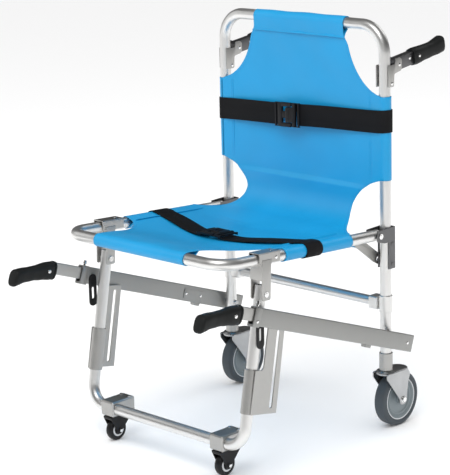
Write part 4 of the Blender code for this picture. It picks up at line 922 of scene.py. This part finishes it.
def rail_parts(side, s):
    """A rectangular rail: a rounded outline outside, a smaller one inside, joined by a rim at each end; then
    its mouth collar, tail rivet, underside lug and a keeper plate on the inner face."""
    body = f"rail_{side}"
    surface = Surface()
    outer = rectangle(-RAIL_T / 2, RAIL_T / 2, -RAIL_H / 2, RAIL_H / 2, 0.0018)
    half_t, half_h = RAIL_T / 2 - RAIL_WALL, RAIL_H / 2 - RAIL_WALL
    inner = rectangle(-half_t, half_t, -half_h, half_h, 0.0008)

    def rows_of(outline, stations):
        """The outline at each station along the rail, as points in the rail's axes."""
        return np.stack([np.insert(outline + (s * RAIL_X, 0), 1, y, axis=1) for y in stations])

    stations = np.linspace(-RAIL_LENGTH, RAIL_TAIL, 12)
    rim, eased = 0.0006, outer * (0.985, 0.994)
    rows = np.concatenate([rows_of(eased, stations[:1]), rows_of(outer, stations[:1] + rim),
                           rows_of(outer, stations[1:-1]), rows_of(outer, stations[-1:] - rim),
                           rows_of(eased, stations[-1:]), rows_of(inner, stations[::-1])])
    surface.grid(put(rows, RAIL), closed=True, looped=True)
    surface.piece(f"rail_{side}_look", RAIL_GREY, body, (f"carry_rail_{side}",), sharp=35)

    collar = Surface()
    half_t, half_h = RAIL_T / 2 + 0.0010, RAIL_H / 2 + 0.0010
    outside = rectangle(-half_t, half_t, -half_h - 0.0020, half_h, 0.0025)
    half_t, half_h = RAIL_T / 2 - 0.0022, RAIL_H / 2 - 0.0022
    within = rectangle(-half_t, half_t, -half_h, half_h, 0.0010)
    eased = outside * (0.93, 0.97)
    front, rear = -RAIL_LENGTH - 0.0006, -RAIL_LENGTH + 0.0190
    rows = np.concatenate([rows_of(eased, [front]), rows_of(outside, [front + 0.0010, rear - 0.0010]),
                           rows_of(eased, [rear]), rows_of(within, [rear, front])])
    collar.grid(put(rows, RAIL), closed=True, looped=True)
    lug = bent([(-0.105, -0.0255), (-0.090, -0.0255), (-0.087, -0.017), (-0.108, -0.017)], 0.0015, 3, True)
    place = seen_from_side(RAIL, s * RAIL_X)
    collar.block(lug, -RAIL_T / 2 + 0.001, RAIL_T / 2 - 0.001, 0.0008, place)
    inner_face = -s * (RAIL_T / 2 + 0.0004)
    collar.block(rectangle(-0.150, -0.086, -0.013, 0.011, 0.003),
                 *sorted((inner_face + s * 0.0008, inner_face - s * 0.0010)), 0.0006, place)
    collar.piece(f"rail_fittings_{side}", RAIL_GREY, body, (), sharp=35)
    out_x, in_x = s * (RAIL_X + RAIL_T / 2), s * (RAIL_X - RAIL_T / 2)
    plate_x = in_x - s * 0.0014
    heads(f"rail_rivets_{side}", BRIGHT, body,
          [(put([out_x, RAIL_TAIL - 0.019, 0.0], RAIL), (s, 0, 0)),
           (put([out_x + s * 0.0013, -RAIL_LENGTH + 0.0095, -0.010], RAIL), (s, 0, 0)),
           (put([plate_x, -0.143, -0.001], RAIL), (-s, 0, 0)),
           (put([plate_x, -0.093, -0.001], RAIL), (-s, 0, 0))], 0.0036, 0.0015)
    bar = Surface()
    section = rectangle(-0.0049, 0.0049, -0.0133, 0.0133, 0.0016) + (0, 0.0020)
    ends = (-RAIL_LENGTH - BAR_OUT[side] - 0.0190, -RAIL_LENGTH + 0.268)
    bar.rod(put(rows_of(section, np.linspace(*ends, 10)), RAIL))
    bar.look(f"sliding_bar_{side}", SATIN, 35)
    lock_lever(side, s)
    softened(f"stop_pin_{side}", BRIGHT, 0.0004)


# ---- brackets, struts, latch --------------------------------------------------------------------------
def plate_at(surface, outline, x0, x1, place, fillet=0.0006):
    """A flat plate between two values of x whose outline is given in a place's (y, z)."""
    surface.block(outline, *sorted((x0, x1)), fillet, seen_from_side(place))


def leg_bracket(side, s):
    """A folded saddle over the seat rail with a cheek on each side of the leg."""
    surface = Surface()
    out, skin = TUBE_R + 0.0006, 0.0024
    far, cut, lip = out + skin, out + skin - 0.002, -0.006
    section = np.array([(-far, lip), (-far, cut), (-cut, far), (cut, far), (far, cut), (far, lip),
                        (out, lip), (out, out), (-out, out), (-out, lip)])
    path = np.array([(s * SEAT_X, -a, 0.0) for a in np.linspace(*SADDLE, 8)])
    surface.rod(carry(section[:, ::-1] * (-1, 1), put(path, SEAT), (1, 0, 0)))
    pivot = SEAT.copy()
    pivot[:3, 3] = LEGS[:3, 3]
    cheek = bent([(-0.0130, -0.0125), (0.0125, -0.0125), (0.0125, 0.060), (0.0160, 0.0735),
                  (-0.0140, 0.0735)], [0.005, 0.005, 0.004, 0.002, 0.002], 4, True)
    plate_at(surface, cheek, s * (LEG_X + TUBE_R + 0.0034), s * (LEG_X + TUBE_R + 0.0060), pivot)
    plate_at(surface, cheek, s * (LEG_X - TUBE_R - 0.0004), s * (LEG_X - TUBE_R - 0.0028), pivot)
    web = rectangle(-0.0148, -0.0126, 0.0300, 0.0640, 0.0008)
    plate_at(surface, web, s * (LEG_X - TUBE_R - 0.0026), s * (LEG_X + TUBE_R + 0.0058), pivot)
    surface.look(f"leg_bracket_{side}", SATIN, 35)
    heads(f"saddle_rivet_{side}", BRIGHT, "seat",
          [(put([s * (SEAT_X + far), -SADDLE_RIVET, 0.003], SEAT), (s, 0, 0)),
           (put([s * SEAT_X, -SADDLE_RIVET, far], SEAT), SEAT[:3, 2])], 0.0038, 0.0014)


def handle_bracket(side, s):
    """A channel that holds the upright from behind: a back wall and two cheeks that carry the arm's pivot."""
    surface = Surface()
    for d in (-1, 1):
        lip = -0.0050 if d == s else -0.0120
        cheek = bent([(lip, 0.776), (0.0140, 0.776), (0.0155, 0.804), (0.0410, 0.809), (0.0410, 0.837),
                      (0.0205, 0.837), (0.0180, 0.824), (lip, 0.824)],
                     [0.002, 0.004, 0.004, 0.008, 0.008, 0.003, 0.003, 0.002], 4, True)
        x = s * UPRIGHT_X + d * SLEEVE_BORE
        plate_at(surface, cheek, x, x + d * 0.0022, BACK)
    wall = rectangle(TUBE_R + 0.0004, TUBE_R + 0.0028, 0.777, 0.800, 0.0008)
    plate_at(surface, wall, s * UPRIGHT_X - TUBE_R - 0.001, s * UPRIGHT_X + TUBE_R + 0.001, BACK)
    surface.look(f"handle_bracket_{side}", SATIN, 35)


def make_brackets(side, s):
    """The brackets, struts, hooks and blocks of one side, and a small domed cap on each outer pivot bolt."""
    softened(f"seat_bracket_{side}", DARK, 0.0006)
    leg_bracket(side, s)
    softened(f"strut_{side}", SATIN, 0.0005)
    softened(f"latch_hook_{side}", SATIN, 0.0006)
    softened(f"front_caster_block_{side}", SATIN, 0.0014, 3)
    handle_bracket(side, s)
    for bolt in ("seat_pivot_bolt", "leg_pivot_bolt"):
        softened(f"{bolt}_{side}", BRIGHT, 0.0005)
    softened(f"rail_pivot_bolt_{side}", ZINC, 0.0005)
    for name in ("seat_pivot", "leg_pivot"):
        bolt = f"{name}_bolt_{side}"
        reach = (s * size_of(bolt)[0] / 2 - s * 0.0004, 0, 0)
        heads(f"{name}_cap_{side}", BRIGHT, BODY_OF[bolt], [(middle_of(bolt) + reach, (s, 0, 0))],
              0.0044, 0.0008)


# ---- rear casters -------------------------------------------------------------------------------------
WHEEL_HALF, WHEEL_R = (size_of("rear_tyre_left")[[0, 2]] / 2).tolist()


def rear_wheel(side):
    """Tyre and hub as turned profiles: a tread whose radius falls with the square of its width, with shoulder
    grooves, a dished disc with a raised ring, and a pale ring where they meet."""
    centre = JOINT_AT[f"rear_wheel_spin_{side}"]
    axis, h, r = (1, 0, 0), WHEEL_HALF, WHEEL_R
    t = np.linspace(-1, 1, 25)
    shoulder = 0.0052 * np.clip((np.abs(t) - 0.72) / 0.28, 0, 1) ** 2.2
    crown = np.stack([r - 0.0012 * t ** 2 - shoulder, t * h], -1)
    wall = [(r - 0.0075, h + 0.0001), (r - 0.0105, h - 0.0004), (r - 0.0112, h - 0.0012),
            (r - 0.0126, h - 0.0010), (r - 0.0150, h - 0.0018), (r - 0.0160, h - 0.0040)]
    tyre = Surface()
    tyre.ring(np.concatenate([crown, both_faces(wall)]), centre, axis, 96)
    tyre.look(f"rear_tyre_{side}", TYRE, 45)
    rim = r - 0.0158
    face = [(0.0046, h - 0.0006), (0.0100, h - 0.0006), (0.0118, h - 0.0016), (0.0124, h - 0.0060),
            (0.0160, h - 0.0078), (0.0250, h - 0.0080), (0.0330, h - 0.0070), (0.0345, h - 0.0050),
            (0.0360, h - 0.0044), (0.0378, h - 0.0046), (0.0390, h - 0.0060), (0.0412, h - 0.0062),
            (0.0428, h - 0.0042), (rim - 0.0012, h - 0.0022), (rim, h - 0.0028)]
    hub = Surface()
    hub.ring(both_faces(face), centre, axis, 96)
    hub.look(f"rear_hub_{side}", HUB, 32)
    ring = Surface()
    for d in (-1, 1):
        low, high = d * (h - 0.0034), d * (h - 0.0014)
        profile = [(rim - 0.0006, low), (rim - 0.0002, high), (rim + 0.0014, high), (rim + 0.0018, low)]
        ring.ring(profile, centre, axis, 80)
    ring.piece(f"rear_rim_{side}", PALE, BODY_OF[f"rear_hub_{side}"], (), sharp=35)


def rear_fork(side):
    """A pressed fork: a swept arm on each side under a cover with round ends, the swivel's races and pin
    above, the axle with its washers and nuts, and the socket on the upright's foot."""
    stem = JOINT_AT[f"rear_caster_swivel_{side}"]
    axle = JOINT_AT[f"rear_wheel_spin_{side}"]
    inner, plate = WHEEL_HALF + 0.0040, 0.0026
    trail, top = axle[1] - stem[1], stem[2] - 0.0035
    surface = Surface()
    arm = bent([(-0.0215, top), (-0.0215, top - 0.012), (-0.004, top - 0.034),
                (trail - 0.0125, axle[2] + 0.002), (trail - 0.0115, axle[2] - 0.0125),
                (trail + 0.0115, axle[2] - 0.0125), (trail + 0.0125, axle[2] + 0.006),
                (trail + 0.0185, top - 0.030), (trail + 0.0250, top - 0.014), (trail + 0.0150, top)],
               [0.004, 0.008, 0.030, 0.010, 0.011, 0.011, 0.010, 0.012, 0.008, 0.006], 5, True)
    beside = tilted((stem[0], stem[1], 0), 0)
    for d in (-1, 1):
        plate_at(surface, arm, d * inner, d * (inner + plate), beside, 0.0009)
    lobe = 0.0225
    round_end = np.linspace(-pi / 2, pi / 2, 20)
    crown = np.concatenate([
        np.stack([lobe * np.cos(round_end + pi / 2), trail + 0.006 + lobe * np.sin(round_end + pi / 2)], -1),
        np.stack([lobe * np.cos(round_end - pi / 2), lobe * np.sin(round_end - pi / 2)], -1)])
    surface.block(crown, -0.0092, -0.0030, 0.0022, tilted(stem, 0))
    races = [(0.0, -0.0050), (0.0225, -0.0050), (0.0232, -0.0042), (0.0228, -0.0028), (0.0205, -0.0022),
             (0.0200, -0.0014), (0.0205, -0.0006), (0.0190, 0.0), (0.0120, 0.0003), (0.0, 0.0003)]
    surface.grid(turned(races, stem, (0, 0, 1), 48), closed=True)
    pin = [(0, -0.002), (0.0060, -0.002), (0.0060, 0.0128), (0, 0.0128)]
    surface.grid(turned(pin, stem, (0, 0, 1), 24), closed=True)
    surface.look(f"rear_fork_{side}", ZINC, 38)

    bolt = Surface()
    reach = inner + plate
    shank = [(0, -reach - 0.001), (0.0038, -reach - 0.001), (0.0038, reach + 0.001), (0, reach + 0.001)]
    washer = [(0, 0), (0.0078, 0), (0.0078, 0.0009), (0.0072, 0.0013), (0, 0.0013)]
    bolt.grid(turned(shank, axle, (1, 0, 0), 20), closed=True)
    for d in (-1, 1):
        face = axle + (d * (reach - 0.0001), 0, 0)
        bolt.grid(turned(washer, face, (d, 0, 0), 28), closed=True)
        hexagon(bolt, face + (d * 0.0012, 0, 0), (d, 0, 0), 0.0110, 0.0032)
    bolt.look(f"rear_axle_{side}", BRIGHT, 32)

    socket = Surface()
    middle, half = middle_of(f"caster_socket_{side}")[2], size_of(f"caster_socket_{side}")[2] / 2
    sleeve(socket, (stem[0], stem[1], middle), (0, 0, 1), half, SLEEVE_BORE, SLEEVE_SKIN)
    floor = [(0.0062, 0), (0.0150, 0), (0.0150, 0.004), (0.0062, 0.004)]
    socket.ring(floor, (stem[0], stem[1], middle - half), (0, 0, 1), 40)
    socket.look(f"caster_socket_{side}", SATIN, 38)


# ---- front casters ------------------------------------------------------------------------------------
def front_caster(side):
    """A small moulded roller with a pale ring on each face, in the frame's own fork."""
    centre = JOINT_AT[f"front_roller_spin_{side}"]
    wheel_node, fork_node = f"front_wheel_{side}", f"front_fork_{side}"
    h, _, r = size_of(wheel_node) / 2
    face = [(0.0036, h - 0.0002), (0.0075, h - 0.0002), (0.0082, h - 0.0016), (0.0105, h - 0.0020),
            (0.0168, h - 0.0020), (0.0176, h - 0.0004), (0.0208, h - 0.0006), (0.0232, h - 0.0022),
            (0.0246, h - 0.0048), (r, h - 0.0078)]
    wheel = Surface()
    wheel.ring(both_faces(face), centre, (1, 0, 0), 72)
    wheel.look(wheel_node, PLASTIC, 35)
    ring = Surface()
    for d in (-1, 1):
        low, high = d * (h - 0.0024), d * (h - 0.0010)
        ring.ring([(0.0112, low), (0.0116, high), (0.0152, high), (0.0158, low)], centre, (1, 0, 0), 56)
    ring.piece(f"front_ring_{side}", PALE, BODY_OF[wheel_node], (), sharp=35)
    softened(fork_node, PLASTIC, 0.0010, 3)
    pin = Surface()
    for d in (-1, 1):
        x = middle_of(fork_node)[0] + d * (size_of(fork_node)[0] / 2 - 0.0006)
        hexagon(pin, (x, centre[1], centre[2]), (d, 0, 0), 0.0080, 0.0016)
    pin.piece(f"front_axle_nuts_{side}", BRIGHT, BODY_OF[fork_node], (), sharp=32)


def block_bolts(side):
    """Two bolts through each caster block, with their nuts below."""
    low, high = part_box(f"front_caster_block_{side}")
    x = (low[0] + high[0]) / 2
    surface = Surface()
    for dx in (-0.0125, 0.0125):
        hexagon(surface, (x + dx, high[1] - 0.012, high[2] - 0.0004), (0, 0, 1), 0.0075, 0.0024)
        hexagon(surface, (x + dx, high[1] - 0.012, low[2] + 0.0004), (0, 0, -1), 0.0075, 0.0028)
    surface.piece(f"block_bolts_{side}", BRIGHT, "legs", (), sharp=32)


# ---- top handles --------------------------------------------------------------------------------------
def top_handle(side, s):
    """A flat arm with a half-round end, rivets, and a moulded grip whose tip turns up."""
    body, x = f"top_handle_{side}", s * UPRIGHT_X
    half, end_r, root = size_of(f"handle_arm_{side}")[0] / 2, 0.014, 0.0554
    turn = np.linspace(pi / 2, 3 * pi / 2, 18)
    outline = np.concatenate([end_r * np.stack([np.cos(turn), np.sin(turn)], -1),
                              [(0.060, -end_r), (0.060, end_r)]])
    arm = Surface()
    arm.block(outline, -half, half, 0.0012, seen_from_side(HANDLE, x))
    arm.look(f"handle_arm_{side}", DARK, 35)
    along, _, section = grip_rows(0.1095, 0.0370, 0.0325, 0.0365, 0.029, 0.0, 3)
    rise = 0.0050 * ease((np.linspace(0, 1, len(along)) - 0.55) / 0.45)
    rows = np.stack([section[..., 0], np.broadcast_to(along[:, None], section.shape[:2]),
                     section[..., 1] + rise[:, None]], -1)
    mouth = HANDLE.copy()
    mouth[:3, 3] = put([x, root, 0], HANDLE)
    grip = Surface()
    grip.rod(put(rows, mouth))
    grip.look(f"handle_grip_{side}", GRIP, 60)
    heads(f"handle_rivets_{side}", BRIGHT, body,
          [(put(spot, HANDLE), (d, 0, 0)) for d in (-1, 1)
           for spot in ([x + d * half, 0.043, 0.003], [x + d * 0.0135, root + 0.016, 0.001])], 0.0038, 0.0016)
    pivot = HANDLE[:3, 3]
    face = TUBE_R + 0.0025
    heads(f"handle_pivot_{side}", BRIGHT, "back",
          [((x + d * face, pivot[1] + y, pivot[2] + z), (d, 0, 0)) for d in (-1, 1)
           for y, z in ((0.0, 0.0), (-0.0262, -0.0385))], 0.0040, 0.0014)


# ---- stage --------------------------------------------------------------------------------------------
def make_stage():
    """A wide pale floor, three soft boxes, and a white surround that metal sees as brighter above."""
    mesh = bpy.data.meshes.new("floor")
    mesh.from_pydata([(-30, -30, 0), (30, -30, 0), (30, 30, 0), (-30, 30, 0)], [], [(0, 1, 2, 3)])
    floor = in_scene("floor", mesh)
    pale = bpy.data.materials.new("floor_pale")
    pale.use_nodes = True
    shader = pale.node_tree.nodes["Principled BSDF"]
    shader.inputs["Base Color"].default_value = (0.95, 0.95, 0.95, 1)
    shader.inputs["Roughness"].default_value = 0.9
    mesh.materials.append(pale)
    world = bpy.data.worlds.new("studio")
    bpy.context.scene.world = world
    world.use_nodes = True
    tree = world.node_tree
    surround, plain = tree.nodes["Background"], node(tree, "ShaderNodeBackground", {"Strength": 1.0})
    plain.inputs["Color"].default_value = (1, 1, 1, 1)
    where, height = node(tree, "ShaderNodeTexCoord"), node(tree, "ShaderNodeSeparateXYZ")
    ramp = node(tree, "ShaderNodeMapRange",
                {"From Min": -0.05, "From Max": 0.75, "To Min": 0.52, "To Max": 1.75})
    seen, either = node(tree, "ShaderNodeLightPath"), node(tree, "ShaderNodeMixShader")
    link_up(tree, [(where.outputs["Generated"], height.inputs[0]),
                   (height.outputs["Z"], ramp.inputs["Value"]),
                   (ramp.outputs[0], surround.inputs["Strength"]),
                   (seen.outputs["Is Glossy Ray"], either.inputs[0]),
                   (plain.outputs[0], either.inputs[1]), (surround.outputs[0], either.inputs[2]),
                   (either.outputs[0], tree.nodes["World Output"].inputs["Surface"])])
    for name, place, aim, size, power in (
            ("key", (0.9, -2.3, 4.0), (0, 0, 0.5), 2.4, 78),
            ("fill", (-3.2, -1.6, 2.0), (0, 0, 0.5), 2.4, 16),
            ("rim", (0.4, 3.2, 2.8), (0, 0, 0.6), 2.0, 20)):
        lamp = bpy.data.lights.new(name, "AREA")
        lamp.energy, lamp.size = power, size
        holder = in_scene(name, lamp)
        turn = (Vector(aim) - Vector(place)).to_track_quat("-Z", "Y").to_matrix().to_4x4()
        holder.matrix_world = Matrix.Translation(place) @ turn
    bpy.context.scene.view_settings.view_transform = "Standard"


def make_camera():
    """The camera stands to the front left of the sitter, a little above, rolled a little."""
    azimuth, elevation, roll = radians(44.71), radians(13.67), -0.0262
    back = Vector((sin(azimuth) * cos(elevation), -cos(azimuth) * cos(elevation), sin(elevation)))
    right = Vector((cos(azimuth), sin(azimuth), 0))
    up = back.cross(right)
    turned_right = right * cos(roll) + up * sin(roll)
    turned_up = up * cos(roll) - right * sin(roll)
    camera = bpy.data.cameras.new("camera")
    camera.lens, camera.sensor_width = 139.63, 36.0
    holder = in_scene("camera", camera)
    place = Matrix((turned_right, turned_up, back)).transposed().to_4x4()
    place.translation = Vector((2.7611, -3.0487 + UPRIGHT_Y, 1.4092))
    holder.matrix_world = place
    bpy.context.scene.camera = holder


# ---- the chair ----------------------------------------------------------------------------------------
make_camera()
make_tubes()
make_crossbar()
sling, panel = make_sling()
make_stitching(panel)
chest_strap()
lap_strap()
for side, s in SIDES:
    make_brackets(side, s)
    rail_parts(side, s)
    front_grip(side, s)
    rear_wheel(side)
    rear_fork(side)
    front_caster(side)
    block_bolts(side)
    top_handle(side, s)
softened("latch_rod", BRIGHT, 0.0003)
make_stage()
